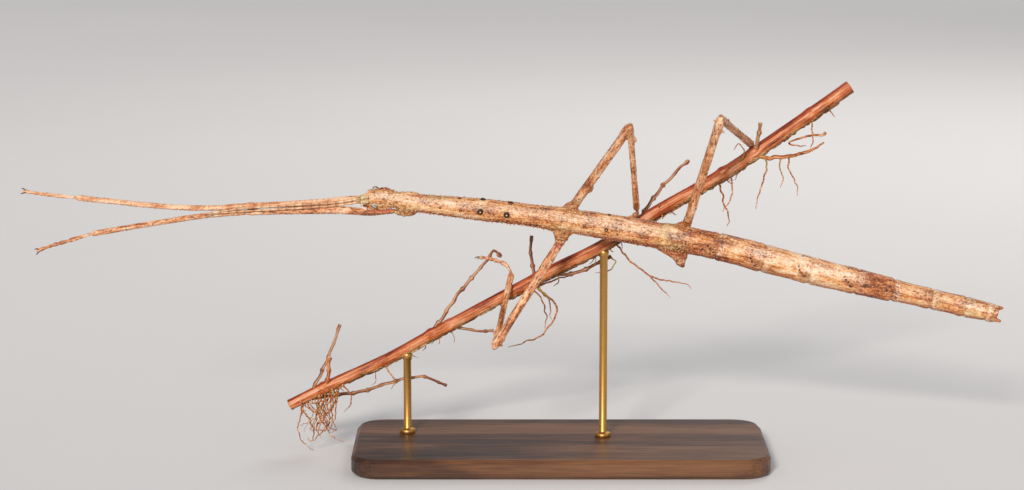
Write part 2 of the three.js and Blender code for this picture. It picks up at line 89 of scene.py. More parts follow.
def add(tree, kind, sockets=None, out=0, stops=None, **settings):
    """Adds one node and returns its output number `out`, or the node itself where out is None."""
    node = tree.nodes.new("ShaderNode" + kind)
    for name, value in settings.items():
        setattr(node, name, value)
    for name, value in (sockets or {}).items():
        if isinstance(value, bpy.types.NodeSocket):
            tree.links.new(value, node.inputs[name])
        else:
            node.inputs[name].default_value = linear(value) if isinstance(value, str) else value
    for i, (place, colour) in enumerate(stops or ()):
        ramp = node.color_ramp.elements
        stop = ramp[i] if i < 2 else ramp.new(place)
        stop.position = place
        stop.color = linear(colour) if isinstance(colour, str) else (colour, colour, colour, 1)
    return node if out is None or not node.outputs else node.outputs[out]


def empty_material(name):
    """A material with an empty node tree."""
    made = bpy.data.materials.new(name)
    made.use_nodes = True
    made.node_tree.nodes.clear()
    return made, made.node_tree


print("linear value of #d9a46c:", [round(c, 3) for c in linear("#d9a46c")])

# %% [markdown]
# ## Lines and rings
#
# Legs, feelers, twigs and roots are all tubes: a ring of points that follows a line.
# The line is a smooth curve through a few known points.
# Each ring needs three directions: along the line, across it and over it.
# Carrying the across direction from one ring to the next keeps the tube from twisting.

# %% Lines and rings
def unit(rows):
    """Vectors cut to length one."""
    rows = np.asarray(rows, float)
    return rows / np.maximum(np.linalg.norm(rows, axis=-1, keepdims=True), 1e-9)


def smooth_line(points, step):
    """A centripetal Catmull-Rom curve through the points, in even steps of about `step` mm."""
    p = np.asarray(points, float)
    p = np.vstack([2 * p[0] - p[1], p, 2 * p[-1] - p[-2]])
    t = np.concatenate([[0], np.cumsum(np.sqrt(np.linalg.norm(np.diff(p, axis=0), axis=1)))])
    pieces = []
    for i in range(1, len(p) - 2):
        t0, t1, t2, t3 = t[i - 1:i + 3]
        u = np.linspace(t1, t2, 32, endpoint=False)[:, None]
        a1 = ((t1 - u) * p[i - 1] + (u - t0) * p[i]) / (t1 - t0)
        a2 = ((t2 - u) * p[i] + (u - t1) * p[i + 1]) / (t2 - t1)
        a3 = ((t3 - u) * p[i + 1] + (u - t2) * p[i + 2]) / (t3 - t2)
        b1 = ((t2 - u) * a1 + (u - t0) * a2) / (t2 - t0)
        b2 = ((t3 - u) * a2 + (u - t1) * a3) / (t3 - t1)
        pieces.append(((t2 - u) * b1 + (u - t1) * b2) / (t2 - t1))
    fine = np.vstack(pieces + [p[-2:-1]])
    far = np.concatenate([[0], np.cumsum(np.linalg.norm(np.diff(fine, axis=0), axis=1))])
    even = np.linspace(0, far[-1], max(3, int(round(far[-1] / step)) + 1))
    return np.column_stack([np.interp(even, far, fine[:, k]) for k in range(3)])


def directions(line, top):
    """Along, across and over at each point of a line; `top` is the over side at its start."""
    along = unit(np.gradient(line, axis=0))
    across = np.empty_like(along)
    side = np.cross(top, along[0])
    for i, ahead in enumerate(along):
        side = unit(side - ahead * side.dot(ahead))
        across[i] = side
    return along, across, np.cross(along, across)


def shares(line):
    """How far along the line each point is, in mm, from its start."""
    return np.concatenate([[0], np.cumsum(np.linalg.norm(np.diff(line, axis=0), axis=1))])


def soft(values, steps):
    """Values smoothed over about `steps` neighbours, so that a profile has no corners."""
    reach = max(1, int(3 * steps))
    weight = np.exp(-0.5 * (np.arange(-reach, reach + 1) / max(steps, 0.1)) ** 2)
    padded = np.pad(values, reach, mode="edge")
    return np.convolve(padded, weight / weight.sum(), mode="valid")


print("points in a line of 10 mm:", len(smooth_line([(0, 0, 0), (5, 1, 0), (10, 0, 0)], 0.5)))

# %% [markdown]
# ## Closed tubes
#
# A loft joins ring after ring with four-sided faces and closes both ends with a fan.
# Every limb, thread and root is such a tube: its line, and a few rows of sizes along it.
# An exponent above 2 makes the ring boxy, as the thighs of a stick insect are.

# %% Closed tubes
def loft(rings):
    """A closed shape through rings of equal counts: points and faces, with flat ends."""
    count, sides, _ = rings.shape
    i, j = np.meshgrid(np.arange(count - 1), np.arange(sides), indexing="ij")
    here = (i * sides + j).ravel()
    beside = (i * sides + (j + 1) % sides).ravel()
    faces = np.stack([here, beside, beside + sides, here + sides], axis=-1).tolist()
    first, last = count * sides, count * sides + 1
    for j in range(sides):
        nxt = (j + 1) % sides
        faces.append([first, nxt, j])
        faces.append([last, (count - 1) * sides + j, (count - 1) * sides + nxt])
    points = np.vstack([rings.reshape(-1, 3), rings[0].mean(0), rings[-1].mean(0)])
    return points, faces


def tube(line, profile, top, sides=24, boxy=2.0, blur=0.35, ends=(0.0, 0.0)):
    """A closed tube; rows are share of the length, width and height; ends are rounded by mm."""
    _, across, over = directions(line, top)
    far = shares(line)
    rows = np.asarray(profile, float)
    step = far[1] - far[0]
    wide = soft(np.interp(far / far[-1], rows[:, 0], rows[:, 1]), blur / step) / 2
    high = soft(np.interp(far / far[-1], rows[:, 0], rows[:, 2]), blur / step) / 2
    for length, gone in ((ends[0], far), (ends[1], far[-1] - far)):
        if length:
            dome = np.sqrt(np.clip(1 - (1 - np.clip(gone / length, 0, 1)) ** 2, 0.03, 1))
            wide, high = wide * dome, high * dome
    angle = np.arange(sides) / sides * 2 * np.pi
    cos, sin = np.cos(angle), np.sin(angle)
    corner = (np.abs(cos) ** boxy + np.abs(sin) ** boxy) ** (-1 / boxy)
    rings = (line[:, None] + across[:, None] * (wide[:, None] * cos * corner)[..., None]
             + over[:, None] * (high[:, None] * sin * corner)[..., None])
    return loft(rings)


def joined(shapes):
    """Several shapes as one set of points and faces."""
    points, faces, start = [], [], 0
    for p, f in shapes:
        points.append(p)
        faces.extend([[k + start for k in face] for face in f])
        start += len(p)
    return np.vstack(points), faces


print("points in a tube of three rings:", len(loft(np.zeros((3, 8, 3)))[0]))

# %% [markdown]
# ## From points to a mesh
#
# Blender keeps a mesh as points and faces, and any other fact about a point as an attribute.
# The shapes stay in millimetres until `put` makes the object.
# One seeded generator deals all the random numbers, so that every run gives the same insect.

# %% From points to a mesh
def put(name, points, faces, scale=MM):
    """A new object from points in mm."""
    mesh = bpy.data.meshes.new(name)
    mesh.from_pydata((np.asarray(points) * scale).tolist(), [], faces)
    mesh.shade_smooth()
    made = bpy.data.objects.new(name, mesh)
    scene.collection.objects.link(made)
    return made


def paint(obj, name, values):
    """Stores one number or one vector per point, for the material to read."""
    values = np.asarray(values, float)
    kind = "FLOAT" if values.ndim == 1 else "FLOAT_VECTOR"
    layer = obj.data.attributes.new(name, kind, "POINT")
    layer.data.foreach_set("value" if values.ndim == 1 else "vector", values.astype(np.float32).ravel())


dice = np.random.default_rng(26)
print("seeded numbers ready")

# %% [markdown]
# ## The body's line and widths
#
# The body is a bent stick: thirteen segments on one gentle curve.
# The back is rolled towards the viewer, so every place on it is told by three numbers:
# the station along X, the distance to the insect's right and the distance towards its back.

# %% The body's line and widths
ROLL = math.radians(26)
BACK = np.array([0, -math.cos(ROLL), math.sin(ROLL)])
BODY_LINE = [
    (-42, -5, 54.8), (-38.6, -5, 54.72), (-36.2, -5, 54.62), (-33.9, -5, 54.48), (-31.4, -5, 54.05),
    (-28.2, -5, 53.6), (-18, -5, 52.55), (-10.2, -5, 51.7), (4, -5, 49.7), (19.6, -5, 47.1),
    (31.2, -5, 44.9), (49.9, -5, 40), (66.6, -5, 36), (90.5, -5, 30.4),
]
BODY_FLATNESS = 0.92
# Head rows: station, width, height above the middle, height below it.
HEAD_ROWS = [
    (-38.4, 1.2, 0.5, 0.6), (-38.15, 2.0, 0.85, 1.0), (-37.6, 3.0, 1.25, 1.3),
    (-36.8, 3.75, 1.6, 1.55), (-35.8, 4.05, 1.78, 1.65), (-34.8, 3.95, 1.8, 1.68),
    (-33.9, 3.6, 1.66, 1.6), (-32.95, 3.15, 1.45, 1.4),
]
# Segment rows: where it starts and ends, how pale it is, and [share of its length, width].
SEGMENTS = [
    (-32.8, -28.2, 0.56, [(0.03, 3.2), (0.15, 3.45), (0.42, 3.7), (0.66, 3.95), (0.85, 3.75), (1, 3.5)]),
    (-28.2, 2.2, 0.49, [(0, 3.45), (0.03, 3.65), (0.2, 4.1), (0.4, 4.4), (0.6, 4.4), (0.8, 4.5),
                        (0.94, 5.0), (1, 4.7)]),
    (2.2, 19.6, 0.54, [(0, 4.45), (0.08, 4.85), (0.3, 5.1), (0.55, 5.2), (0.85, 5.3), (1, 5.1)]),
    (19.6, 24.4, 0.52, [(0, 5.05), (0.2, 5.4), (0.7, 5.6), (1, 5.1)]),
    (24.4, 31.2, 0.41, [(0, 5.05), (0.12, 5.35), (0.6, 5.3), (0.9, 5.5), (1, 5.1)]),
    (31.2, 40.5, 0.48, [(0, 5.1), (0.08, 5.5), (0.6, 5.55), (0.92, 5.8), (1, 5.3)]),
    (40.5, 49.9, 0.66, [(0, 5.2), (0.08, 5.6), (0.6, 5.45), (0.92, 5.7), (1, 5.2)]),
    (49.9, 59.2, 0.65, [(0, 5.1), (0.08, 5.5), (0.6, 5.25), (0.92, 5.3), (1, 4.9)]),
    (59.2, 66.6, 0.385, [(0, 4.8), (0.1, 5.15), (0.6, 4.85), (0.92, 4.75), (1, 4.3)]),
    (66.6, 74.3, 0.48, [(0, 4.1), (0.12, 4.35), (0.6, 4.1), (0.9, 4.3), (1, 3.9)]),
    (74.3, 81.0, 0.455, [(0, 3.8), (0.15, 4.05), (0.6, 3.9), (0.9, 4.2), (1, 3.8)]),
    (81.0, 85.4, 0.56, [(0, 3.7), (0.2, 4.0), (0.7, 3.9), (1, 3.7)]),
    (85.4, 87.6, 0.44, [(0, 3.5), (0.3, 3.8), (0.8, 3.7), (1, 3.0)]),
]
SEAMS = np.array([start for start, _, _, _ in SEGMENTS])
TRUNK_START, TRUNK_END = -38.4, 87.6
BODY = smooth_line(BODY_LINE, 0.1)
BODY_ALONG = unit(np.gradient(BODY, axis=0))


def body_at(x):
    """Middle, along, right and back of the body at stations x."""
    x = np.atleast_1d(np.asarray(x, float))
    middle = np.column_stack([np.interp(x, BODY[:, 0], BODY[:, k]) for k in range(3)])
    along = unit(np.column_stack([np.interp(x, BODY[:, 0], BODY_ALONG[:, k]) for k in range(3)]))
    right = unit(np.cross(BACK, along))
    return middle, along, right, np.cross(along, right)


def beside(x, to_right, to_back):
    """The point at a station, so far to the right and towards the back."""
    middle, _, right, back = body_at(x)
    return (middle + right * to_right + back * to_back)[0]


rows = list(HEAD_ROWS)
for start, end, _, widths in SEGMENTS:
    for share, width in widths:
        x = start + share * (end - start)
        half = width * BODY_FLATNESS / 2
        rows.append((x, width, half, half))
TRUNK_ROWS = np.array(sorted(rows))


def trunk_size(x):
    """Half width, height towards the back and height towards the belly at stations x."""
    return [np.interp(x, TRUNK_ROWS[:, 0], TRUNK_ROWS[:, k]) for k in (1, 2, 3)]


print("body length in mm:", round(shares(BODY)[-1], 1))

# %% [markdown]
# ## The legs' lines
#
# Each leg has a hip joint on the body, a short coxa, a femur, a tibia and a foot.
# The forelegs stretch straight ahead past the head; the other four bend up or down to grip.
# A leg is described by its joints, and by rows of share, width and height for each piece.

# %% The legs' lines
LEGS = {
    "fore_left": dict(
        side=-1, hip=(-28.9, 1.1, 1.2), coxa=(-32.9, -5.7, 52.15), kind="fore", skirt=(1.4,),
        femur=[(-37.7, -5.6, 51.75), (-43.1, -5.2, 52.2), (-52.1, -5, 52)], knee=(-62.7, -5, 51.8),
        tibia=[(-71, -5, 51.1), (-79, -5, 49.9)], ankle=(-93.9, -5, 47.4),
        foot=[(-99.4, -5, 45.7), (-102, -5.1, 45), (-104.4, -5.2, 44.1)]),
    "fore_right": dict(
        side=1, hip=(-28.9, 1.1, 1.2), coxa=(-32.9, -2.3, 54.5), kind="fore", skirt=(1.4,),
        femur=[(-36.9, -2, 54.2), (-39.8, -3.1, 54.1), (-43.2, -4.1, 54), (-52.2, -5, 53.5)],
        knee=(-63.3, -5, 53.05),
        tibia=[(-70.1, -5, 52.6), (-79.5, -5, 52.95), (-90.1, -5, 54)], ankle=(-96.8, -5, 54.7),
        foot=[(-102.1, -5, 55.3), (-104.4, -5, 55.6), (-106.8, -5.1, 56)]),
    "mid_left": dict(
        side=-1, hip=(0.6, 1.9, 0.7), coxa=(-0.4, -5.8, 45.2), kind="walking",
        skirt=(-1.7, -0.8, 0.9, 1.8),
        femur=[], knee=(-13.2, -9.8, 25.5), tibia=[], ankle=(-9.9, 5.2, 37.4),
        foot=[(-11, 5.7, 39.1), (-12.9, 5.5, 40), (-14.9, 5.8, 40.5), (-16.3, 6.5, 40.5)]),
    "mid_right": dict(
        side=1, hip=(0.6, 1.9, 0.7), coxa=(2.9, -2.9, 53), kind="walking", skirt=(-1.0, 1.0, 2.4),
        femur=[], knee=(13.2, -15.2, 70.3), tibia=[], ankle=(15.2, -2.6, 51.9),
        foot=[(15.4, -0.9, 50.8), (14.6, 0.6, 50.1), (12.8, 0.9, 48.8), (10.6, 1.2, 47.4)]),
    "hind_left": dict(
        side=-1, hip=(22, 1.9, 0.9), coxa=(24.0, -5.3, 42.2), kind="walking",
        skirt=(-3.6, -2.4, -1.2, 1.2),
        femur=[], knee=(27.1, 22, 39.9), tibia=[], ankle=(10.9, 4.1, 45.8),
        foot=[(9.7, 3.8, 44.4), (8.1, 3.9, 43.4), (6.1, 4.2, 42.2)]),
    "hind_right": dict(
        side=1, hip=(22.6, 1.9, 0.9), coxa=(25.6, -2.6, 48.7), kind="walking", skirt=(-1.6, 1.2),
        femur=[], knee=(30.7, -17.5, 72.2), tibia=[], ankle=(38.9, 6.3, 63.7),
        foot=[(39.9, 6.4, 62.5), (41.5, 6.4, 63.5), (43.5, 6.6, 64.8)]),
}
COXA_ROWS = [(0, 2.0, 2.0), (0.35, 2.4, 2.4), (0.75, 2.2, 2.2), (1, 1.9, 1.9)]
# A hip spreads towards the body in narrow folds; each starts so many mm behind (or before) the hip.
FOLD_ROWS = [(0, 1.6, 1.5), (0.5, 1.55, 1.5), (0.85, 1.3, 1.3), (1, 1.0, 1.0)]
FEMUR_ROWS = {
    "fore": [(0, 1.0, 1.0), (0.03, 0.9, 0.9), (0.12, 0.85, 0.85), (0.22, 1.35, 1.15), (0.34, 1.6, 1.25),
             (0.6, 1.35, 1.15), (0.9, 1.15, 1.05), (0.97, 1.35, 1.25), (1, 1.0, 1.0)],
    "walking": [(0, 1.7, 1.7), (0.05, 1.7, 1.65), (0.12, 1.8, 1.7), (0.2, 1.9, 1.8), (0.28, 1.85, 1.7),
                (0.5, 1.9, 1.7), (0.85, 1.8, 1.6), (0.95, 2.15, 1.9), (1, 1.8, 1.6)],
}
TIBIA_ROWS = {
    "fore": [(0, 0.9, 0.9), (0.03, 1.15, 1.1), (0.1, 1.05, 1.0), (0.5, 1.05, 0.95), (0.95, 1.1, 1.0),
             (0.985, 1.2, 1.1), (1, 0.9, 0.9)],
    "walking": [(0, 1.2, 1.2), (0.04, 1.6, 1.5), (0.12, 1.4, 1.3), (0.3, 1.35, 1.2),
                (0.6, 1.3, 1.15), (0.93, 1.45, 1.3), (0.97, 1.5, 1.4), (1, 1.05, 1.0)],
}
FOOT_JOINTS = [0, 0.42, 0.6, 0.72, 0.82, 1]


def foot_rows(kind):
    """Five short foot segments, each wider at its far end; slimmer on the forelegs."""
    stout = 1.0 if kind == "fore" else 1.25
    made = []
    for i, (start, end) in enumerate(zip(FOOT_JOINTS[:-1], FOOT_JOINTS[1:])):
        thick = (0.92 - 0.03 * i) * stout
        made += [(start + 0.012, 0.55 * stout, 0.52), (start + 0.35 * (end - start), 0.64 * stout, 0.58),
                 (end - 0.03, thick, thick * 0.88), (end - 0.006, thick * 0.8, thick * 0.7)]
    return made


def leg_lines(leg):
    """The four smooth lines of a leg, from hip to foot."""
    station, sideways, below = leg["hip"]
    hip = beside(station, leg["side"] * sideways, -below)
    coxa = smooth_line([hip, (hip + np.array(leg["coxa"])) / 2, leg["coxa"]], 0.1)
    inside = np.array(leg["coxa"]) + unit(hip - np.array(leg["coxa"])) * 0.5
    femur = smooth_line([inside, *leg["femur"], leg["knee"]], 0.1)
    tibia = smooth_line([leg["knee"], *leg["tibia"], leg["ankle"]], 0.1)
    foot = smooth_line([leg["ankle"], *leg["foot"]], 0.08)
    return dict(coxa=coxa, femur=femur, tibia=tibia, foot=foot)


for name, leg in LEGS.items():
    leg["lines"] = leg_lines(leg)
    leg["top"] = BACK if leg["kind"] == "fore" else body_at(leg["hip"][0])[1][0]
    print(name, {part: round(shares(line)[-1], 1) for part, line in leg["lines"].items()})

# %% [markdown]
# ## Flesh in the rough
#
# The trunk is one long loft; hips and tail pieces are pushed into it and overlap it.
# A voxel remesh then wraps everything in one even skin, as cling film would, with no seams.
# Cones and flattened horns are made the same way for lobes and spines.
# The legs get a finer wrap each, because two forelegs that almost touch would melt together.

# %% Flesh in the rough
def horn(root, out, along, length, across, height, rings=7):
    """A flattened horn: `length` and `across` are its foot, and it rises by `height`."""
    out, along = unit(out), np.asarray(along, float)
    along = unit(along - out * along.dot(out))
    side = np.cross(out, along)
    angle = np.arange(16) / 16 * 2 * np.pi
    made = []
    for up in np.linspace(0, 1, rings):
        shrink = math.sqrt(1 - up ** 1.5) * 0.95 + 0.05
        middle = np.asarray(root) + out * height * up
        made.append(middle + along * (np.cos(angle) * length / 2 * shrink)[:, None]
                    + side * (np.sin(angle) * across / 2 * shrink)[:, None])
    return loft(np.array(made))


def ball(middle, axes, sizes, around=32, rings=18):
    """A closed ellipsoid with its own axes."""
    lift = np.linspace(-1, 1, rings) * (math.pi / 2 - 0.06)
    angle = np.arange(around) / around * 2 * np.pi
    a, b, c = [unit(axis) * size for axis, size in zip(axes, sizes)]
    made = [np.asarray(middle) + c * math.sin(t)
            + (a * np.cos(angle)[:, None] + b * np.sin(angle)[:, None]) * math.cos(t) for t in lift]
    return loft(np.array(made))


def wrapped(shapes, voxel, rounds=2):
    """One skin round overlapping closed shapes, smoothed a little; in mm."""
    rough = put("rough", *joined(shapes), scale=1)
    wrap = rough.modifiers.new("wrap", "REMESH")
    wrap.mode = "VOXEL"
    wrap.voxel_size = voxel
    iron = rough.modifiers.new("iron", "SMOOTH")
    iron.factor = 0.5
    iron.iterations = rounds
    held = rough.evaluated_get(bpy.context.evaluated_depsgraph_get()).to_mesh()
    points = np.empty(len(held.vertices) * 3, np.float32)
    held.vertices.foreach_get("co", points)
    faces = [list(face.vertices) for face in held.polygons]
    old = rough.data
    bpy.data.objects.remove(rough)
    bpy.data.meshes.remove(old)
    return points.reshape(-1, 3).astype(float), faces


def trunk_loft(step=0.12, sides=88):
    """Head, thorax and abdomen as one closed loft."""
    x = np.arange(TRUNK_START, TRUNK_END + step / 2, step)
    wide, up, down = [soft(size, 0.28 / step) for size in trunk_size(x)]
    middle, _, right, back = body_at(x)
    angle = np.arange(sides) / sides * 2 * np.pi
    cos, sin = np.cos(angle), np.sin(angle)
    high = np.where(sin > 0, up[:, None], down[:, None])
    rings = (middle[:, None] + right[:, None] * (wide[:, None] / 2 * cos)[..., None]
             + back[:, None] * (high * sin)[..., None])
    return loft(rings)


print("flesh tools ready")

# %% [markdown]
# ## The trunk
#
# Hips spread towards the body in folds, so each gets a short tube and a few narrower ones behind it.
# The head is a loft with knobs pushed into it: sockets of the feelers, brows, cheeks and rims.
# Its left cheek stands out further, because the head is turned a little towards the viewer.

# %% The trunk
trunk_shapes = [trunk_loft()]
for leg in LEGS.values():
    trunk_shapes.append(tube(leg["lines"]["coxa"], COXA_ROWS, leg["top"], ends=(0.3, 0.5)))
    station, sideways, below = leg["hip"]
    for shift in leg["skirt"]:
        root = beside(station + shift, leg["side"] * (sideways - 0.5), -below * 0.6)
        rim = beside(station + shift * 0.6, leg["side"] * (sideways + 0.2), -below)
        fold = smooth_line([root, (rim + np.array(leg["coxa"])) / 2, leg["coxa"]], 0.1)
        trunk_shapes.append(tube(fold, FOLD_ROWS, leg["top"], 20, ends=(0.3, 0.6)))
HEAD_AXES = (BACK, (0, 0, 1), (-1, 0, 0))
trunk_shapes.append(ball(beside(-38.4, 0.1, 0.1), HEAD_AXES, (0.8, 1.0, 0.85)))
for side in (-1, 1):
    # Sockets of the feelers, brows over the eyes, cheeks, corners of the mouth, rims below the eyes:
    # station, reach to the side, height towards the back, and three half sizes.
    cheek, rim = (1.78, 1.92) if side < 0 else (1.4, 1.66)
    for station, reach, lift, sizes in (
            (-37.85, 0.85, 0.65, (0.5, 0.5, 0.6)), (-36.7, 1.15, 0.9, (0.6, 0.55, 0.8)),
            (-35.4, cheek, -0.25, (0.95, 0.68, 1.4)), (-38.1, 1.25, -0.55, (0.75, 0.6, 0.75)),
            (-36.9, rim, -0.55, (0.7, 0.62, 1.05))):
        trunk_shapes.append(ball(beside(station, side * reach, lift), HEAD_AXES, sizes))
    # The two short fingers of the tail.
    finger = smooth_line([beside(x, side * (1.25 + 0.08 * i), 0.1)
                          for i, x in enumerate((86.6, 87.8, 88.7))], 0.06)
    finger_rows = [(0, 0.9, 0.8), (0.6, 0.8, 0.7), (1, 0.55, 0.5)]
    trunk_shapes.append(tube(finger, finger_rows, BACK, 16, ends=(0, 0.35)))
# The hind left thigh points away from the hip, so its rounded foot shows below it.
for place, size in (((23.9, -5.2, 41.7), 1.0), ((24.7, -5.4, 42.7), 0.62),
                    ((23.1, -5.5, 42.5), 0.7), ((24.3, -5.8, 41.2), 0.5)):
    trunk_shapes.append(ball(place, ((1, 0, 0), (0, 1, 0), (0, 0, 1)), (size, size, size)))
keel = smooth_line([beside(x, 0, -1.6) for x in (75.5, 79, 83, 86, 87.9)], 0.1)
keel_rows = [(0, 1.4, 0.9), (0.3, 2.8, 1.6), (0.7, 2.5, 1.6), (1, 0.9, 0.8)]
trunk_shapes.append(tube(keel, keel_rows, BACK, 28, ends=(0.8, 0.6)))

TRUNK_VOXEL, LEG_VOXEL = 0.19, 0.16
skin_parts = [wrapped(trunk_shapes, TRUNK_VOXEL)]
print("trunk skin:", len(skin_parts[0][0]), "points")

# %% [markdown]
# ## Legs with lobes and spines
#
# A femur is boxy, with ridges that end in small points beside the knee.
# Lobes and spines are told by the leg, the piece, the share of its length,
# the direction they point to (X, Y, Z), and their length, thickness and height.

# %% Legs with lobes and spines
AHEAD, BEHIND, UPWARDS, DOWN = (-1, -0.2, 0), (1, -0.2, 0), (0, -0.2, 1), (0, -0.2, -1)
LOBES = {
    "mid_right femur": [(0.24, BEHIND, 3.4, 0.6, 1.25), (0.40, BEHIND, 1.4, 0.5, 0.95),
                        (0.14, AHEAD, 1.6, 0.5, 0.85), (0.98, AHEAD, 0.8, 0.45, 1.3)],
    "mid_right tibia": [(0.15, BEHIND, 2.2, 0.5, 1.05), (0.03, UPWARDS, 0.8, 0.5, 1.0)],
    "mid_left femur": [(0.97, DOWN, 1.0, 0.5, 1.2), (0.99, AHEAD, 0.8, 0.5, 1.1),
                       (0.93, BEHIND, 1.2, 0.45, 1.05), (0.16, BEHIND, 1.8, 0.5, 0.95)],
    "mid_left tibia": [(0.16, AHEAD, 1.8, 0.45, 0.85), (0.55, AHEAD, 0.9, 0.4, 0.7)],
    "hind_right femur": [(0.985, AHEAD, 0.7, 0.45, 1.5), (0.90, BEHIND, 1.0, 0.4, 1.45),
                         (0.22, AHEAD, 2.2, 0.5, 1.05), (0.45, BEHIND, 1.0, 0.4, 0.9)],
    "hind_right tibia": [(0.22, UPWARDS, 0.8, 0.4, 1.15), (0.52, UPWARDS, 0.9, 0.4, 1.05)],
    "hind_left femur": [(0.97, UPWARDS, 0.8, 0.4, 1.2), (0.18, DOWN, 2.0, 0.5, 1.0)],
    "hind_left tibia": [(0.15, UPWARDS, 1.6, 0.4, 0.9)],
}
for name, leg in LEGS.items():
    lines, top, kind = leg["lines"], leg["top"], leg["kind"]
    shapes = [tube(lines["femur"], FEMUR_ROWS[kind], top, 28, boxy=2.9, ends=(0.5, 0.5)),
              tube(lines["tibia"], TIBIA_ROWS[kind], top, 28, boxy=2.7, ends=(0.5, 0.4))]
    along, across, over = directions(lines["femur"], top)
    size = 0.68 if kind == "walking" else 0.55
    shapes.append(ball(leg["knee"], (across[-1], over[-1], along[-1]), (size, size, size * 1.15)))
    if kind == "walking":
        for side in (-1, 1):
            # The knee's two cheeks reach past the joint on either side of the tibia.
            cheek = np.array(leg["knee"]) + across[-1] * side * 0.48 - along[-1] * 0.25
            shapes.append(ball(cheek, (across[-1], over[-1], along[-1]), (0.38, 0.62, 1.0)))
    for part in ("femur", "tibia"):
        for share, towards, length, thick, height in LOBES.get(f"{name} {part}", ()):
            line = lines[part]
            i = int(share * (len(line) - 1))
            ahead = directions(line, top)[0][i]
            out = unit(np.array(towards) - ahead * ahead.dot(towards))
            shapes.append(horn(line[i] + out * 0.2, out, ahead, length, thick, height))
    skin_parts.append(wrapped(shapes, LEG_VOXEL, 1))
    foot = tube(lines["foot"], foot_rows(kind), top, 16, blur=0.1, ends=(0.2, 0.2))
    skin_parts.append(foot)
skin_points, skin_faces = joined(skin_parts)
print("whole skin:", len(skin_points), "points,", sum(len(f) - 2 for f in skin_faces), "triangles")

# %% [markdown]
# ## A map of the skin
#
# Markings follow the body, not the room: streaks run along a leg whichever way it points.
# So each point of the skin looks for its nearest place on the skeleton lines,
# measured in thicknesses, and keeps its place along, across and over that line.
# A material can draw on these as if every limb lay straight.

# %% A map of the skin
def skeleton():
    """Samples of every line: place, three directions, thickness, distance along and part number."""
    made = []
    x = np.arange(TRUNK_START, TRUNK_END + 0.1, 0.25)
    middle, along, right, back = body_at(x)
    wide, up, down = trunk_size(x)
    made.append((middle, along, right, back, (wide / 2 + up + down) / 2, x, np.zeros(len(x))))
    number = 0
    for leg in LEGS.values():
        for part in ("coxa", "femur", "tibia", "foot"):
            number += 1
            line = leg["lines"][part][::3]
            ahead, across, over = directions(line, leg["top"])
            radius = {"coxa": 0.95, "femur": 0.75, "tibia": 0.6, "foot": 0.4}[part]
            made.append((line, ahead, across, over, np.full(len(line), radius), shares(line),
                         np.full(len(line), float(number))))
    return [np.concatenate([piece[k] for piece in made]) for k in range(7)]


BONES = skeleton()


def mapped(points):
    """For each point: part, place along, across and over (mm), and limb share 0 to 1."""
    place, ahead, across, over, radius, far, part = BONES
    trunk = part == 0
    best = np.empty(len(points), int)
    limb = np.empty(len(points))
    weight = 1 / radius ** 2
    square = (place ** 2).sum(1) * weight
    for start in range(0, len(points), 8000):
        some = points[start:start + 8000]
        score = (some ** 2).sum(1)[:, None] * weight + square - 2 * some @ (place * weight[:, None]).T
        best[start:start + 8000] = score.argmin(1)
        to_trunk, to_limb = score[:, trunk].min(1), score[:, ~trunk].min(1)
        limb[start:start + 8000] = to_trunk / (to_trunk + to_limb + 1e-9)
    gap = points - place[best]
    step = (gap * ahead[best]).sum(1)
    limb = np.clip((limb - 0.4) / 0.2, 0, 1)
    return dict(part=part[best].astype(int), far=far[best] + step, across=(gap * across[best]).sum(1),
                over=(gap * over[best]).sum(1), limb=limb * limb * (3 - 2 * limb))


skin_map = mapped(skin_points)
print("limb points:", int((skin_map["part"] > 0).sum()))

# %% [markdown]
# ## Relief on the skin
#
# The wrap is smooth; a real cuticle is not.
# Each point is pushed out or in along its normal: grooves and rims where segments meet,
# a low keel along the back, a fold along each side, long twig-like ridges and small lumps.
# The amounts are tenths of a millimetre, so the outline keeps its size.

# %% Relief on the skin
SEAM_DEPTHS = np.array([0.07, 0.05, 0.10, 0.05, 0.07, 0.09, 0.09, 0.09, 0.09, 0.09, 0.09, 0.08, 0.08])
# Single lumps on the trunk: station, turn from the back in degrees, radius, height; the last column
# says whether the same lump stands on the other side too.
LUMPS = [
    (-37.35, 13, 0.30, 0.20, 1), (-36.8, 12, 0.27, 0.18, 1), (-36.9, 74, 0.35, 0.16, 0),
    (-36.0, 66, 0.34, 0.20, 1), (-35.0, 76, 0.42, 0.26, 0), (-34.1, 70, 0.36, 0.22, 1),
    (-34.8, 26, 0.55, 0.14, 1), (-35.6, -34, 0.34, 0.14, 0), (-33.8, -22, 0.38, 0.12, 0),
    (-33.9, 44, 0.38, 0.14, 1), (-35.9, 38, 0.42, 0.13, 1), (-36.1, -72, 0.45, 0.16, 0),
    (-34.9, -84, 0.42, 0.14, 0), (-33.6, -58, 0.36, 0.14, 0), (-37.7, -46, 0.26, 0.16, 1),
    (-33.3, 4, 0.40, 0.12, 0), (-31.9, 40, 0.45, 0.10, 1), (-30.0, 72, 1.2, 0.20, 1),
    (-29.3, -20, 0.5, 0.08, 1), (-31.0, 0, 0.5, 0.08, 0), (24.9, -10, 0.75, 0.26, 0),
    (24.6, 18, 0.6, 0.20, 0), (24.2, -48, 0.5, 0.16, 0), (20.4, 30, 0.6, 0.12, 1),
    (32.3, -34, 0.75, 0.20, 1), (41.6, -30, 0.8, 0.20, 1), (51.0, -26, 0.8, 0.20, 1),
    (60.2, -24, 0.7, 0.18, 1), (67.6, -24, 0.6, 0.16, 1), (75.1, -24, 0.5, 0.14, 1),
    (2.9, -40, 0.8, 0.14, 1), (1.2, 46, 0.7, 0.16, 1),
]


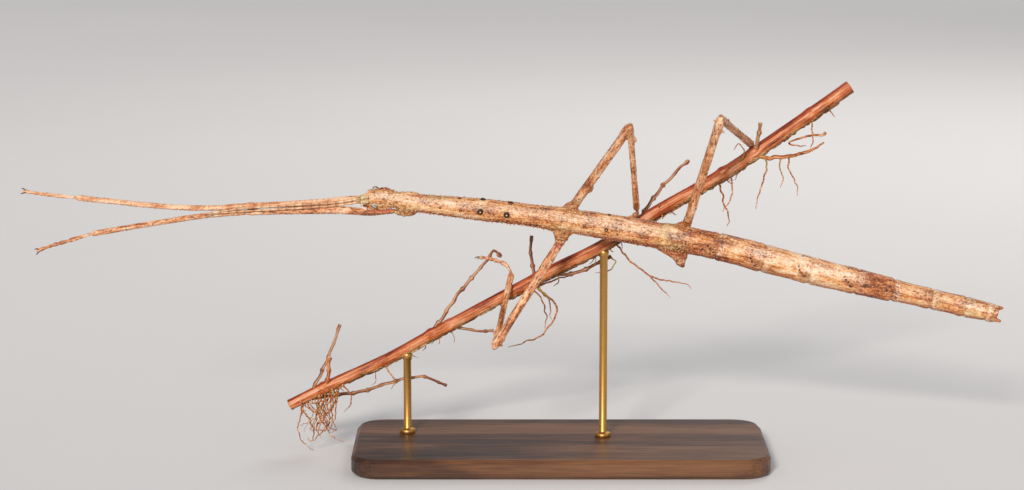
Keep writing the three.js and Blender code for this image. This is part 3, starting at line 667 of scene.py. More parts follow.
def hill(distance, width):
    """1 at no distance, falling off smoothly over about `width`."""
    return np.exp(-(distance / width) ** 2)


def noise_at(rows, scale, start=0.0):
    """Smooth noise from about -1 to 1 at rows of places, each axis with its own scale."""
    return np.array([noise.noise(Vector(row)) for row in rows * np.asarray(scale) + start])


def ruggedness(m):
    """How rough each place is: head, hips and thorax more than abdomen and legs."""
    along_trunk = np.interp(m["far"], [-33, -32, 18, 26, 34, 90], [1.9, 1.1, 1.1, 1.0, 0.75, 0.75])
    return np.where(m["part"] == 0, along_trunk, np.where(m["part"] % 4 == 1, 2.0, 0.75))


def relief(m):
    """How far out each point of the skin moves, in mm."""
    place = np.column_stack([m["far"] + 41.7 * m["part"], m["across"], m["over"]])
    trunk = (m["part"] == 0).astype(float)
    x = m["far"]
    turn = np.arctan2(m["across"], m["over"])
    gap = x[:, None] - SEAMS
    nearest = np.abs(gap).argmin(1)
    gap = gap[np.arange(len(x)), nearest]
    depth = SEAM_DEPTHS[nearest]
    out = -depth * 1.2 * hill(gap, 0.15)
    out += depth * (0.9 * hill(gap - 0.7, 0.45) + 0.6 * hill(gap + 0.6, 0.4))
    thorax = (x < 19.6).astype(float)
    body = (x > -32.8).astype(float)
    out += body * (0.03 + 0.04 * thorax) * hill(turn, 0.10)
    out -= body * 0.08 * hill(np.abs(turn) - 1.95, 0.10)
    out += body * 0.07 * hill(np.abs(turn) - 1.7, 0.12)
    # The pronotum's cross groove, and the head's forked line between the eyes.
    out -= 0.08 * hill(x + 31.2, 0.2) * hill(turn, 1.1)
    out -= 0.07 * hill(turn - 0.35 * np.clip(x + 36, -1.2, 0), 0.10) * hill(x + 35.4, 1.6) * (1 - body)
    for station, degrees, radius, height, both in LUMPS:
        for side in (1, -1)[:1 + both]:
            off = turn - math.radians(degrees * side)
            off = np.abs((off + np.pi) % (2 * np.pi) - np.pi) * np.interp(station, [-33, -10, 30],
                                                                          [1.9, 2.1, 2.6])
            out += height * hill(np.hypot(x - station, off), radius)
    out *= trunk
    rugged = ruggedness(m)
    out += 0.075 * rugged * noise_at(place, (0.30, 0.9, 0.9))
    out += 0.035 * noise_at(place, (0.11, 2.3, 2.3), 7.3)
    out += 0.065 * rugged * noise_at(place, (1.25, 1.5, 1.5), 3.1)
    foot = (m["part"] > 0) & (m["part"] % 4 == 0)
    return np.where(foot, 0.0, out)


def normals_of(points, faces):
    """The normal at each point of a mesh in mm."""
    probe = put("probe", points, faces, scale=1)
    found = np.empty(len(points) * 3, np.float32)
    probe.data.vertices.foreach_get("normal", found)
    mesh = probe.data
    bpy.data.objects.remove(probe)
    bpy.data.meshes.remove(mesh)
    return found.reshape(-1, 3).astype(float)


skin_points = skin_points + normals_of(skin_points, skin_faces) * relief(skin_map)[:, None]
hull = BVHTree.FromPolygons(skin_points.tolist(), skin_faces)
print("relief done")

# %% [markdown]
# ## Warts and granules
#
# The thorax carries a few round warts with a black ring, and hundreds of small pointed granules.
# They are real bumps that break the outline, so they are made as small lofts of rings.
# A ray from the middle of the body finds the place on the skin where each one sits.

# %% Warts and granules
# Station, turn from the back in degrees (right is positive), radius, and how black its ring is.
WARTS = [
    (-16.1, -32, 0.54, 1.0), (-10.85, -33, 0.54, 1.0), (-15.8, 56, 0.54, 1.0),
    (-10.3, 54, 0.52, 1.0), (-20.4, 50, 0.34, 1.0), (-24.1, -31, 0.25, 0.85),
    (-20.0, -38, 0.25, 0.75), (9.0, -33, 0.34, 1.0), (9.2, 54, 0.34, 1.0), (4.7, -36, 0.24, 0.9),
    (-36.0, -52, 0.22, 0.5), (-35.3, -20, 0.2, 0.45), (-34.1, -46, 0.22, 0.5),
    (-26.1, -28, 0.2, 0.4), (-25.0, -5, 0.18, 0.35), (-19.6, -12, 0.18, 0.4),
]


def on_skin(x, degrees):
    """The place and normal of the trunk's skin at a station and a turn from the back."""
    middle, _, right, back = body_at(x)
    turn = math.radians(degrees)
    ray = right[0] * math.sin(turn) + back[0] * math.cos(turn)
    place, normal, _, _ = hull.ray_cast(Vector(middle[0]), Vector(ray))
    return (np.array(place), unit(np.array(normal) * 0.6 + ray * 0.8)) if place else (None, None)


def knob(place, out, rows, sides, twist=0.0, lean=0.0):
    """A small round knob: rows of radius and height over the skin; it leans towards the tail by `lean`."""
    side = unit(np.cross(out, (1, 0.13, 0.2)))
    other = np.cross(out, side)
    angle = (np.arange(sides) / sides + twist) * 2 * np.pi
    rim = side * np.cos(angle)[:, None] + other * np.sin(angle)[:, None]
    rings = [place + out * height + np.array([lean * height, 0, 0]) + rim * radius
             for radius, height in rows]
    points, faces = loft(np.array(rings))
    tops = np.array([h for _, h in rows for _ in range(sides)] + [rows[0][1], rows[-1][1]])
    return points, faces, tops / rows[-1][1]


print("skin found on the back at", on_skin(0.0, 0)[0].round(2))

# %% [markdown]
# ## The warts
#
# A wart is a low round cushion with a small knob on it.

# %% The warts
wart_places, wart_outs, knobs, tops = [], [], [], []


def plant(place, out, rows, sides, **how):
    """Makes a knob and keeps it, with how far up each of its points stands."""
    points, faces, top = knob(place, out, rows, sides, **how)
    knobs.append((points, faces))
    tops.append(np.clip(top, 0.02, 1))


for x, degrees, radius, _ in WARTS:
    place, out = on_skin(x, degrees)
    wart_places.append(place)
    wart_outs.append(out)
    rows = [(1.35 * radius, -0.12), (1.05 * radius, 0.03)]
    rows += [(wide * radius, high * radius)
             for wide, high in ((0.84, 0.3), (0.6, 0.34), (0.46, 0.5), (0.3, 0.68), (0.08, 0.74))]
    points, faces, _ = knob(place, out, rows, 24)
    knobs.append((points, faces))
    tops.append(np.zeros(len(points)))
wart_places, wart_outs = np.array(wart_places), np.array(wart_outs)
print("warts:", len(WARTS))

# %% [markdown]
# ## The granules
#
# Granules are scattered at random but never closer than a set distance, as on the real skin.
# A place that is too near to an earlier one, or to a wart, is thrown away.

# %% The granules
# Bands of the trunk: from, to, least distance between granules in mm, lowest and greatest height.
GRANULES = [
    (-38.0, -33.0, 0.46, 0.10, 0.26), (-32.4, -28.4, 0.50, 0.08, 0.22),
    (-28.0, 2.0, 0.50, 0.08, 0.24), (2.4, 19.4, 0.50, 0.06, 0.18), (19.8, 31.0, 0.52, 0.06, 0.17),
    (31.4, 87.0, 0.85, 0.04, 0.12),
]
TRIES_PER_MM2 = 6
granule_count = 0
for start, end, spacing, low, high in GRANULES:
    tries = int((end - start) * math.pi * 4.3 * TRIES_PER_MM2 * (0.5 / spacing) ** 2)
    taken = np.zeros((tries, 2))
    count = 0
    draws = (dice.uniform(start, end, tries), dice.uniform(-180, 180, tries), dice.random(tries))
    for x, degrees, size in zip(*draws):
        flat = np.array([x, math.radians(degrees) * 2.2])
        if count and np.min(((taken[:count] - flat) ** 2).sum(1)) < spacing ** 2:
            continue
        place, out = on_skin(x, degrees)
        if place is None or np.min(((wart_places - place) ** 2).sum(1)) < 0.45:
            continue
        taken[count] = flat
        count += 1
        height = low + (high - low) * size ** 1.8
        radius = 0.11 + 0.30 * height
        rows = [(1.3 * radius, -0.1), (radius, 0.02),
                (0.6 * radius, 0.55 * height), (0.14 * radius, height)]
        plant(place, out, rows, 6, twist=dice.random())
    granule_count += count
# Longer points along both sides of the thorax, and a row of yellow ones at the hind hips.
SPINE_ROWS = [
    (-28, 2, 34, -98, 0.22, 0.42), (-28, 2, 26, 78, 0.14, 0.3), (2.5, 19, 12, -98, 0.14, 0.3),
    (-37.5, -33.2, 7, 72, 0.16, 0.3), (20.5, 24.5, 5, -84, 0.2, 0.36),
]
for start, end, count, middle_turn, low, high in SPINE_ROWS:
    for x in np.linspace(start, end, count) + dice.uniform(-0.3, 0.3, count):
        place, out = on_skin(x, middle_turn + dice.uniform(-16, 16))
        if place is None:
            continue
        height = dice.uniform(low, high)
        rows = [(0.26, -0.1), (0.2, 0.03), (0.12, 0.55 * height), (0.03, height)]
        plant(place, out, rows, 8, twist=dice.random(), lean=dice.uniform(0.2, 0.9))
print("granules:", granule_count, "knobs so far:", len(knobs))

# %% [markdown]
# ## Small teeth along the legs
#
# The four edges of femur and tibia carry a row of very small teeth.

# %% Small teeth along the legs
for name, leg in LEGS.items():
    for part, sizes in (("femur", FEMUR_ROWS), ("tibia", TIBIA_ROWS)):
        line = leg["lines"][part]
        ahead, sideways, upwards = directions(line, leg["top"])
        far = shares(line)
        sizes = np.array(sizes[leg["kind"]])
        for edge in (45, 135, 225, 315):
            at = 1.2 + dice.random()
            while at < far[-1] - 0.8:
                i = int(at / far[-1] * (len(line) - 1))
                share = far[i] / far[-1]
                wide, high = [np.interp(share, sizes[:, 0], sizes[:, k]) / 2 for k in (1, 2)]
                turn = math.radians(edge)
                spot = sideways[i] * math.cos(turn) * wide * 1.2 + upwards[i] * math.sin(turn) * high * 1.2
                out = unit(unit(spot) + ahead[i] * 0.35)
                height = dice.uniform(0.07, 0.2)
                rows = [(0.15, -0.08), (0.12, 0.02), (0.07, 0.5 * height), (0.02, height)]
                plant(line[i] + spot * 0.92, out, rows, 6)
                at += dice.uniform(0.7, 1.7)
knob_points, knob_faces = joined(knobs)
knob_tops = np.concatenate(tops)
print("knobs in all:", len(knobs), "triangles:", sum(len(f) - 2 for f in knob_faces))

# %% [markdown]
# ## Painting the map onto the skin
#
# The material needs to know where it is: on the back or the belly, just before a seam,
# near a knee, on a pink or a lichen-coloured patch, and how far it is from a wart.
# These facts are stored on the points as numbers and vectors.

# %% Painting the map onto the skin
# Lichen-coloured places on the trunk: station, turn, half length, half width in radians, strength.
LICHEN = [
    (-25.6, 55, 1.6, 0.55, 1.0), (-23.0, 44, 1.6, 0.4, 0.6), (-30.4, -62, 1.6, 0.5, 0.8),
    (0.3, -66, 2.2, 0.5, 0.7), (20.6, 20, 1.0, 1.2, 0.8), (22.6, -60, 2.2, 0.4, 0.9),
    (3.0, 56, 1.8, 0.5, 0.8), (-34.6, 26, 0.6, 0.4, 0.5), (22.5, 62, 2.4, 0.4, 0.6),
    (-32.6, 40, 0.5, 0.9, 0.5), (81.6, 50, 1.4, 0.45, 0.8), (82.6, -46, 2.0, 0.45, 0.9),
    (74.8, 26, 1.4, 0.4, 0.6), (75.4, -34, 1.2, 0.35, 0.5),
]
# Red-brown or orange places: station, turn in degrees, half length, half width in radians, strength.
RUSTY = [
    (16.5, 42, 3.6, 0.30, 1.0), (11.0, -80, 5.5, 0.26, 0.8), (18.3, -78, 2.4, 0.25, 0.9),
    (-5.5, -84, 2.0, 0.25, 0.7), (27.5, 50, 2.6, 0.35, 0.7), (27.0, -62, 2.6, 0.35, 0.7),
    (-35.4, 62, 2.2, 0.30, 0.5), (36.0, 64, 3.4, 0.25, 0.7), (36.0, -78, 3.4, 0.25, 0.7),
    (62.8, 0, 3.4, 2.0, 0.5), (-35.8, 56, 2.2, 0.5, 0.35), (27.8, 0, 3.2, 2.0, 0.25),
]
HEAD_TONE, LEG_TONE, FORELEG_TONES = 0.56, 0.55, (0.57, 0.66)
TONE_PLACES = [-37, -34] + [(start + end) / 2 for start, end, _, _ in SEGMENTS]
TONE_VALUES = [HEAD_TONE, HEAD_TONE] + [pale for _, _, pale, _ in SEGMENTS]
WART_RADII = np.array([w[2] for w in WARTS])
LAST_FORE_LEFT, LAST_FORE_RIGHT = 4, 8  # each leg has four parts, numbered from 1
print("coloured places:", len(LICHEN) + len(RUSTY))

# %% [markdown]
# ## What the cuticle reads
#
# All facts are stored once for the skin and once for the granules, which sit on it
# and take the colour of the place where they stand.

# %% What the cuticle reads
def dress(obj, points, m, grit):
    """Stores all that the cuticle's material reads."""
    x, part = m["far"], m["part"]
    turn = np.arctan2(m["across"], m["over"])
    paint(obj, "grain", np.column_stack([x + 41.7 * part, m["across"], m["over"]]))
    paint(obj, "form", np.column_stack([np.cos(turn), np.sin(turn), m["limb"]]))
    after = np.clip(np.searchsorted(SEAMS, x) - 1, 0, len(SEAMS) - 1)
    since = np.where(x > SEAMS[0], x - SEAMS[after], 9)
    before = np.where(after + 1 < len(SEAMS), SEAMS[np.minimum(after + 1, len(SEAMS) - 1)] - x, 9)
    trunk = part == 0
    tone = np.interp(x, TONE_PLACES, TONE_VALUES)
    # The head is duller on its right and the neck paler on its left.
    tone -= 0.16 * hill(x + 35.7, 2.1) * np.clip(m["across"] / 1.2 - 0.1, 0, 1)
    tone += 0.20 * hill(x + 33.4, 1.0) * np.clip(-m["across"] / 1.2, 0, 1)
    leg_tone = np.where(part <= LAST_FORE_LEFT, FORELEG_TONES[0],
                        np.where(part <= LAST_FORE_RIGHT, FORELEG_TONES[1], LEG_TONE))
    paint(obj, "tone", tone * (1 - m["limb"]) + leg_tone * m["limb"])
    rose, lichen, rusty = np.zeros(len(x)), np.zeros(len(x)), np.zeros(len(x))
    for store, places in ((lichen, LICHEN), (rusty, RUSTY)):
        for station, degrees, length, breadth, strength in places:
            near = hill(x - station, length) * hill(turn - math.radians(degrees), breadth)
            store += trunk * strength * near
    for k, (name, leg) in enumerate(LEGS.items()):
        base = np.linalg.norm(points - np.array(leg["coxa"]), axis=1)
        own = (part >= 4 * k + 1) & (part <= 4 * k + 4)
        if leg["kind"] == "fore":
            # The thin curved base of a fore femur is red on the side that holds the head.
            inner = np.clip((leg["side"] * m["across"] - 0.02) / 0.2, 0, 1)
            rose += (part == 4 * k + 2) * inner * np.clip(1.3 - m["far"] / 5.5, 0, 1)
            lichen += (part == 4 * k + 1) * 0.8
        else:
            rose += own * (0.3 if name == "hind_left" else 0.85) * hill(base, 1.0)
            lichen += (part == 4 * k + 1) * 0.5
        rusty += (part == 4 * k + 1) * 0.4
    paint(obj, "joint", np.column_stack([np.clip(before, 0, 9), np.clip(since, 0, 9), ruggedness(m)]))
    paint(obj, "tint", np.column_stack([np.clip(rose, 0, 1), np.clip(lichen, 0, 1), grit]))
    paint(obj, "rusty", np.clip(rusty, 0, 1))
    # The distance to a wart is measured in its own plane; height counts a quarter.
    reach = np.linalg.norm(points[:, None] - wart_places, axis=2) / WART_RADII
    nearest = reach.argmin(1)
    offset = points - wart_places[nearest]
    lifted = (offset * wart_outs[nearest]).sum(1)[:, None] * wart_outs[nearest]
    offset = (offset - 0.75 * lifted) / WART_RADII[nearest][:, None]
    offset *= np.minimum(1, 4 / np.maximum(np.linalg.norm(offset, axis=1), 1e-6))[:, None]
    paint(obj, "wart", offset)
    paint(obj, "wart_black", np.array([w[3] for w in WARTS])[nearest])


insect_skin = put("insect_skin", skin_points, skin_faces)
dress(insect_skin, skin_points, skin_map, np.zeros(len(skin_points)))
granules = put("skin_granules", knob_points, knob_faces)
dress(granules, knob_points, mapped(knob_points), knob_tops)
print("skin painted")

# %% [markdown]
# ## Tools for finishes
#
# Finishes here are built the same way: noises in mm are mixed by weight into one number,
# a colour ramp turns it into a ground colour, and masks from 0 to 1 lay more colours over it.
# So a few small tools put several nodes together at a time.

# %% Tools for finishes
def stored(tree, name):
    """A vector painted on the points, whole, and then its three numbers."""
    vector = add(tree, "Attribute", out=1, attribute_name=name)
    return (vector, *add(tree, "SeparateXYZ", {0: vector}, out=None).outputs)


def stretched(tree, grain, scale, kind="TexNoise", out=0, **sockets):
    """A texture on stretched coordinates: `scale` is how often it repeats in one unit of them."""
    place = add(tree, "Mapping", {"Vector": grain, "Scale": scale})
    return add(tree, kind, {"Vector": place, "Scale": 1.0, **sockets}, out=out)


def mixture(tree, start, *parts):
    """The start value plus each part times its weight."""
    for value, weight in parts:
        start = add(tree, "Math", {0: value, 1: weight, 2: start}, operation="MULTIPLY_ADD")
    return start


def mask(tree, *factors):
    """The product of its factors; (value, low, high, top) rises softly from 0 at low to top at high."""
    product = None
    for factor in factors:
        if isinstance(factor, tuple):
            value, low, high, top = (*factor, 1.0)[:4]
            factor = add(tree, "MapRange", {0: value, 1: low, 2: high, 3: 0.0, 4: top},
                         interpolation_type="SMOOTHSTEP")
        product = factor if product is None else add(
            tree, "Math", {0: product, 1: factor}, operation="MULTIPLY")
    return product


def layered(tree, colour, *layers):
    """Lays colours over a ground, each through its mask; a third word changes how it is laid."""
    for share, above, *how in layers:
        colour = add(tree, "Mix", {0: share, 6: colour, 7: above}, out=2, data_type="RGBA",
                     blend_type=how[0] if how else "MIX")
    return colour


def surface(tree, colour, gloss, height, depth, strength, **sockets):
    """Ends a finish: a relief `depth` mm deep, the shader and the output."""
    bump = add(tree, "Bump", {"Height": height, "Distance": depth * MM, "Strength": strength})
    shader = add(tree, "BsdfPrincipled", {
        "Base Color": colour, "Roughness": gloss, "Normal": bump, **sockets})
    add(tree, "OutputMaterial", {"Surface": shader})


CHITIN_IOR, BARK_IOR, OIL_IOR = 1.56, 1.48, 1.5
print("refractive indices:", CHITIN_IOR, BARK_IOR, OIL_IOR)

# %% [markdown]
# ## The cuticle
#
# An insect's shell is chitin: hard, thin, a little glossy, with a refractive index near 1.56.
# This one mimics a dead twig: cream to orange brown, streaked along its length,
# with dark dashes on the legs, and brown marks in front of the seams of the abdomen.
# Streaks are noise stretched along the body, about 10 mm long and 0.5 mm wide.
# First come its noises, at the sizes of the real markings, and a pavement of 0.45 mm grains.

# %% The cuticle
chitin, tree = empty_material("chitin, granular, twig coloured")
grain, along, across, over = stored(tree, "grain")
_, back, _, limb = stored(tree, "form")
_, before, since, rugged = stored(tree, "joint")
_, rose, lichen, grit = stored(tree, "tint")
tone = add(tree, "Attribute", out=2, attribute_name="tone")
rusty = add(tree, "Attribute", out=2, attribute_name="rusty")
on_trunk = add(tree, "Math", {0: 1.0, 1: limb}, operation="SUBTRACT")

cloud = stretched(tree, grain, (0.24, 0.5, 0.5), Detail=4.0, Roughness=0.6)
streak = stretched(tree, grain, (0.16, 1.7, 1.7), Detail=5.0, Roughness=0.65)
fibre = stretched(tree, grain, (0.6, 4.5, 4.5), Detail=3.0, Roughness=0.6)
crumbs = stretched(tree, grain, (2.0, 2.6, 2.6), Detail=4.0, Roughness=0.7)
pavement = stretched(tree, grain, (1.9, 2.3, 2.3), "TexVoronoi", None, Randomness=1.0)
cell = pavement.outputs["Distance"]
cell_shade = add(tree, "SeparateXYZ", {0: pavement.outputs["Color"]})
eyelets = stretched(tree, grain, (0.95, 1.15, 1.15), "TexVoronoi", Randomness=1.0)
print("noises of the cuticle ready, nodes:", len(tree.nodes))

# %% [markdown]
# ## Its ground colour
#
# All the noises are added to the tone of the place, which differs from segment to segment.
# The offset brings the sum back between 0 and 1. Legs are redder than the trunk.

# %% Its ground colour
level = mixture(tree, tone, (cloud, 1.3), (streak, 1.22), (fibre, 0.5), (crumbs, 0.72),
                (mask(tree, cell_shade, rugged), 0.14), (mask(tree, cell, rugged), -0.14))
level = add(tree, "Math", {0: level, 1: 1.885}, operation="SUBTRACT")
body = add(tree, "ValToRGB", {0: level}, stops=[
    (0.06, "#4c220b"), (0.24, "#88481c"), (0.40, "#bf7031"),
    (0.54, "#e29e60"), (0.70, "#f3c794"), (0.92, "#fcebd2")])
legs = add(tree, "ValToRGB", {0: level}, stops=[
    (0.08, "#4a240f"), (0.28, "#8f4f26"), (0.44, "#ca7f4a"), (0.60, "#e7a97a"), (0.82, "#f6d3af")])
colour = layered(tree, body, (limb, legs))
print("nodes:", len(tree.nodes))

# %% [markdown]
# ## Tints, stripe and eyelets
#
# Pink and olive tints drift over the whole insect in soft patches.
# Flanks are browner than the back, rusty places are orange, and a pale broken stripe follows the back,
# partly its own pale colour and partly a painted highlight along the middle of the back.
# Eyelets are pale grains of 0.2 mm in a brown ring, on the rough parts.

# %% Tints, stripe and eyelets
drift = add(tree, "TexNoise", {"Vector": grain, "Scale": 0.75, "Detail": 3.0}, out=1)
pinkish, olive, _ = add(tree, "SeparateXYZ", {0: drift}, out=None).outputs
behind_head = add(tree, "MapRange", {0: along, 1: -34.5, 2: -32.5, 3: 0.0, 4: 1.0})
ring = add(tree, "ValToRGB", {0: eyelets}, stops=[
    (0.05, "#f4d0a4"), (0.11, "#9a5a30"), (0.19, "#9a5a30"), (0.24, "#f2cda4")])
colour = layered(
    tree, colour,
    (mask(tree, (pinkish, 0.5, 0.7, 0.45)), "#f0c4ae", "MULTIPLY"),
    (mask(tree, (olive, 0.52, 0.72, 0.55), (rugged, 0.8, 1.8)), "#cfc08c", "MULTIPLY"),
    (mask(tree, (back, 0.70, 0.0), (cloud, 0.28, 0.60, 0.85), behind_head, on_trunk),
     "#bb8465", "MULTIPLY"),
    (mask(tree, rusty, (streak, 0.36, 0.56, 0.9)), "#d2793a", "MULTIPLY"),
    # The pale stripe along the back: partly its own colour, partly a painted highlight along its middle.
    (mask(tree, (back, 0.84, 1.0, 0.7), on_trunk, (crumbs, 0.36, 0.58), (tone, 0.40, 0.56)), "#fbe6cf"),
    (mask(tree, (eyelets, 0.25, 0.19, 0.35), mask(tree, (rugged, 0.5, 1.0), on_trunk)), ring, "MULTIPLY"))
print("nodes:", len(tree.nodes))

# %% [markdown]
# ## Marks on legs and seams
#
# The legs carry dark dashes and ovals 1.2 mm long, fewer on the pale forelegs.
# The abdomen is palest just behind each seam; the groove itself is brown.

# %% Marks on legs and seams
dashes = stretched(tree, grain, (0.9, 3.0, 3.0), Detail=2.0)
ovals = stretched(tree, grain, (0.7, 1.5, 1.5), "TexVoronoi", Randomness=1.0)
marked = mask(tree, limb, add(tree, "MapRange", {0: tone, 1: 0.56, 2: 0.62, 3: 1.0, 4: 0.35}))
to_seam = add(tree, "Math", {0: before, 1: since}, operation="MINIMUM")
colour = layered(
    tree, colour,
    (mask(tree, (dashes, 0.57, 0.66, 0.85), marked), "#65321a"),
    (mask(tree, (ovals, 0.26, 0.17, 0.75), marked), "#6b3a20"),
    (mask(tree, (since, 2.2, 0.3, 0.75), (along, 24.0, 30.0), on_trunk,
          (crumbs, 0.40, 0.58), (cloud, 0.36, 0.56)), "#f8e6cb"),
    (mask(tree, (to_seam, 0.28, 0.06, 0.6), on_trunk, (crumbs, 0.40, 0.58)), "#74421f"))
print("nodes:", len(tree.nodes))

# %% [markdown]
# ## Blotches and pits
#
# Each abdomen segment has a brown blotch with a row of small black pits in front of its seam.
# They stand at known places, so they are told by the distance to the nearest one
# on the unrolled trunk. Noise shifts the place a little and makes their edges ragged.

# %% Blotches and pits
# Brown marks on the trunk: station, turn in degrees, half length in mm, half width in degrees.
BLOTCHES = [
    (29.9, -50, 1.5, 24), (39.2, -46, 1.7, 20), (48.6, -42, 1.5, 20), (57.8, -34, 1.6, 18),
    (65.4, -30, 1.2, 20), (48.4, 52, 1.2, 9), (57.6, 48, 1.4, 12), (38.8, 54, 0.9, 8),
    (73.4, -34, 1.0, 20), (23.8, -42, 0.5, 22),
]
# Small black pits in a row at the front of those marks: station, turn in degrees.
PITS = [
    (29.2, -22), (29.7, -34), (30.4, -47), (31.0, -60), (37.6, -20), (37.9, -33), (38.4, -46),
    (39.0, -60), (47.2, -12), (47.6, -25), (48.1, -38), (48.8, -50), (47.8, 47), (48.5, 53),
    (56.4, -6), (56.8, -18), (57.3, -30), (57.9, -42), (56.7, 42), (57.3, 50), (64.6, -16),
    (65.0, -30), (24.9, -44), (11.3, -46), (-31.0, -70),
]
PIT_RADIUS = 0.21
BODY_RADIUS = 2.6
turn = add(tree, "Math", {0: across, 1: over}, operation="ARCTAN2")
wobble = add(tree, "TexNoise", {"Vector": grain, "Scale": 1.3, "Detail": 4.0}, out=1)
unrolled = add(tree, "VectorMath", {
    0: wobble, 1: (1.1, 0.5, 0.0), 2: add(tree, "CombineXYZ", {0: along, 1: turn})},
    operation="MULTIPLY_ADD")
WOBBLE_MEAN = (0.55, 0.25)  # what the noise adds on average


def nearest_of(places):
    """The distance to the nearest place, in half sizes of that place."""
    far = 9.0
    for station, degrees, length, breadth in places:
        middle = (station + WOBBLE_MEAN[0], math.radians(degrees) + WOBBLE_MEAN[1], 0)
        gap = add(tree, "VectorMath", {0: unrolled, 1: middle}, operation="SUBTRACT")
        gap = add(tree, "VectorMath", {0: gap, 1: (1 / length, 1 / breadth, 0)}, operation="MULTIPLY")
        gap = add(tree, "VectorMath", {0: gap}, out=1, operation="LENGTH")
        far = add(tree, "Math", {0: gap, 1: far}, operation="MINIMUM")
    return far


blotch = nearest_of([(x, turn, length, math.radians(wide)) for x, turn, length, wide in BLOTCHES])
pit = nearest_of([(x, turn, 1.0, 1 / BODY_RADIUS) for x, turn in PITS])
mottled = add(tree, "ValToRGB", {0: crumbs}, stops=[
    (0.40, "#5f2f14"), (0.50, "#a05a2a"), (0.60, "#d9995f")])
colour = layered(
    tree, colour, (mask(tree, (blotch, 1.15, 0.45, 0.92), on_trunk), mottled),
    (mask(tree, (pit, PIT_RADIUS * 1.4, PIT_RADIUS * 0.7, 0.95), on_trunk), "#27140b"))
print("blotches and pits:", len(BLOTCHES), len(PITS), "nodes:", len(tree.nodes))

# %% [markdown]
# ## Lichen, granules and warts
#
# Lichen yellow comes in broken patches, and the bases of the legs show their red inner skin.
# Granules are brown round the foot and pale at the point; the pale point is partly their own colour,
# partly a painted highlight on their tips.
# A wart has an orange centre with a light tip, in a ring that is black on the large ones.
# The relief of the finish is finer than the mesh: streaks, fibres, crumbs and the pavement.

# %% Lichen, granules and warts
growth = add(tree, "ValToRGB", {0: cell_shade}, stops=[
    (0.0, "#9d8348"), (0.5, "#cdb878"), (1.0, "#e6d6a6")])
# Granule colour by height: a brown foot and a pale point, the point partly a painted highlight.
knob_colour_with_tip_highlight = add(tree, "ValToRGB", {0: grit}, stops=[
    (0.05, "#a06538"), (0.25, "#cd8f5c"), (0.6, "#f8d8b4"), (1.0, "#fff2e2")])
from_wart = add(tree, "VectorMath", {0: add(tree, "Attribute", out=1, attribute_name="wart")},
                out=1, operation="LENGTH")
half_way = add(tree, "Math", {0: from_wart, 1: 0.5}, operation="MULTIPLY")
wart_ring = add(tree, "ValToRGB", {0: half_way}, stops=[
    (0.08, "#ffe6c4"), (0.15, "#e8914a"), (0.22, "#2a150c"), (0.50, "#120a08"), (0.60, "#8a5a36")])
blackness = add(tree, "Attribute", out=2, attribute_name="wart_black")
colour = layered(
    tree, colour, (mask(tree, lichen, (crumbs, 0.36, 0.60, 0.9)), growth),
    (mask(tree, rose, (fibre, 0.2, 0.5)), "#b52d40"),
    (add(tree, "MapRange", {0: grit, 1: 0.01, 2: 0.03, 3: 0.0, 4: 0.6}), knob_colour_with_tip_highlight),
    (mask(tree, (from_wart, 1.28, 1.08), blackness), wart_ring))
height = mixture(tree, crumbs, (streak, 0.8), (fibre, 0.4), (mask(tree, cell, rugged), -0.9))
gloss = add(tree, "MapRange", {0: crumbs, 1: 0.3, 2: 0.7, 3: 0.30, 4: 0.60})
surface(tree, colour, gloss, height, 0.2, 0.9, IOR=CHITIN_IOR)

FLESH = ["head", "prothorax", "mesothorax", "metathorax",
         "ovipositor_plate", "cercus_left", "cercus_right"]
FLESH += [f"abdomen_{i}" for i in range(1, 11)]
FLESH += [f"{part}_{name}" for name in LEGS for part in ("coxa", "femur", "tibia", "tarsus")]
for piece in (insect_skin, granules):
    piece.data.materials.append(chitin)
    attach(piece, "root")
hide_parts(*FLESH)
print("cuticle nodes:", len(chitin.node_tree.nodes))

# %% [markdown]
# ## The eyes
#
# Compound eyes are small smooth domes with a clear glossy outer layer.
# Here grey and pale stripes cross them, which hides them among the head's granules.

# %% The eyes
def eye_material():
    """Clear glossy chitin over grey and cream stripes."""
    made, tree = empty_material("eye, glossy clear chitin over stripes")
    place = add(tree, "Attribute", out=1, attribute_name="grain")
    sway = add(tree, "TexNoise", {"Vector": place, "Scale": 1.6}, out=1)
    warped = add(tree, "VectorMath", {0: sway, 1: (0.35, 0.35, 0.35), 2: place}, operation="MULTIPLY_ADD")
    bands = add(tree, "TexWave", {"Vector": warped, "Scale": 0.72, "Distortion": 1.2, "Detail": 2.0},
                wave_type="BANDS", bands_direction="DIAGONAL")
    colour = add(tree, "ValToRGB", {0: bands}, stops=[
        (0.0, "#59483a"), (0.2, "#8f8070"), (0.6, "#a39585"), (0.95, "#c6b8a5")])
    facets = add(tree, "TexVoronoi", {"Vector": place, "Scale": 14.0}, feature="DISTANCE_TO_EDGE")
    surface(tree, colour, 0.3, facets, 0.02, 0.3, IOR=CHITIN_IOR,
            **{"Coat Weight": 0.5, "Coat Roughness": 0.08})
    return made


EYE_STATION, EYE_SIDEWAYS, EYE_UPWARDS, EYE_RADIUS = -37.1, 1.64, 0.5, 0.68
eye_stripes = eye_material()
for name, side in (("eye_left", -1), ("eye_right", 1)):
    middle = beside(EYE_STATION, side * EYE_SIDEWAYS, EYE_UPWARDS)
    _, ahead, right, back = [rows[0] for rows in body_at(EYE_STATION)]
    sizes = (EYE_RADIUS * 1.1, EYE_RADIUS, EYE_RADIUS)
    points, faces = ball(middle, (ahead, back, right * side), sizes, 40, 26)
    eye = put(name + "_dome", points, faces)
    local = points - middle
    paint(eye, "grain", np.column_stack([local @ ahead, local @ back, local @ right]))
    eye.data.materials.append(eye_stripes)
    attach(eye, "root")
    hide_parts(name)
print("eyes done")

# %% [markdown]
# ## Jaws and palps
#
# Under the front of the head sit the upper lip, two dark-edged jaws and two pairs of jointed palps.
# They are barer than the head: the jaws amber, the palps thin and pale.

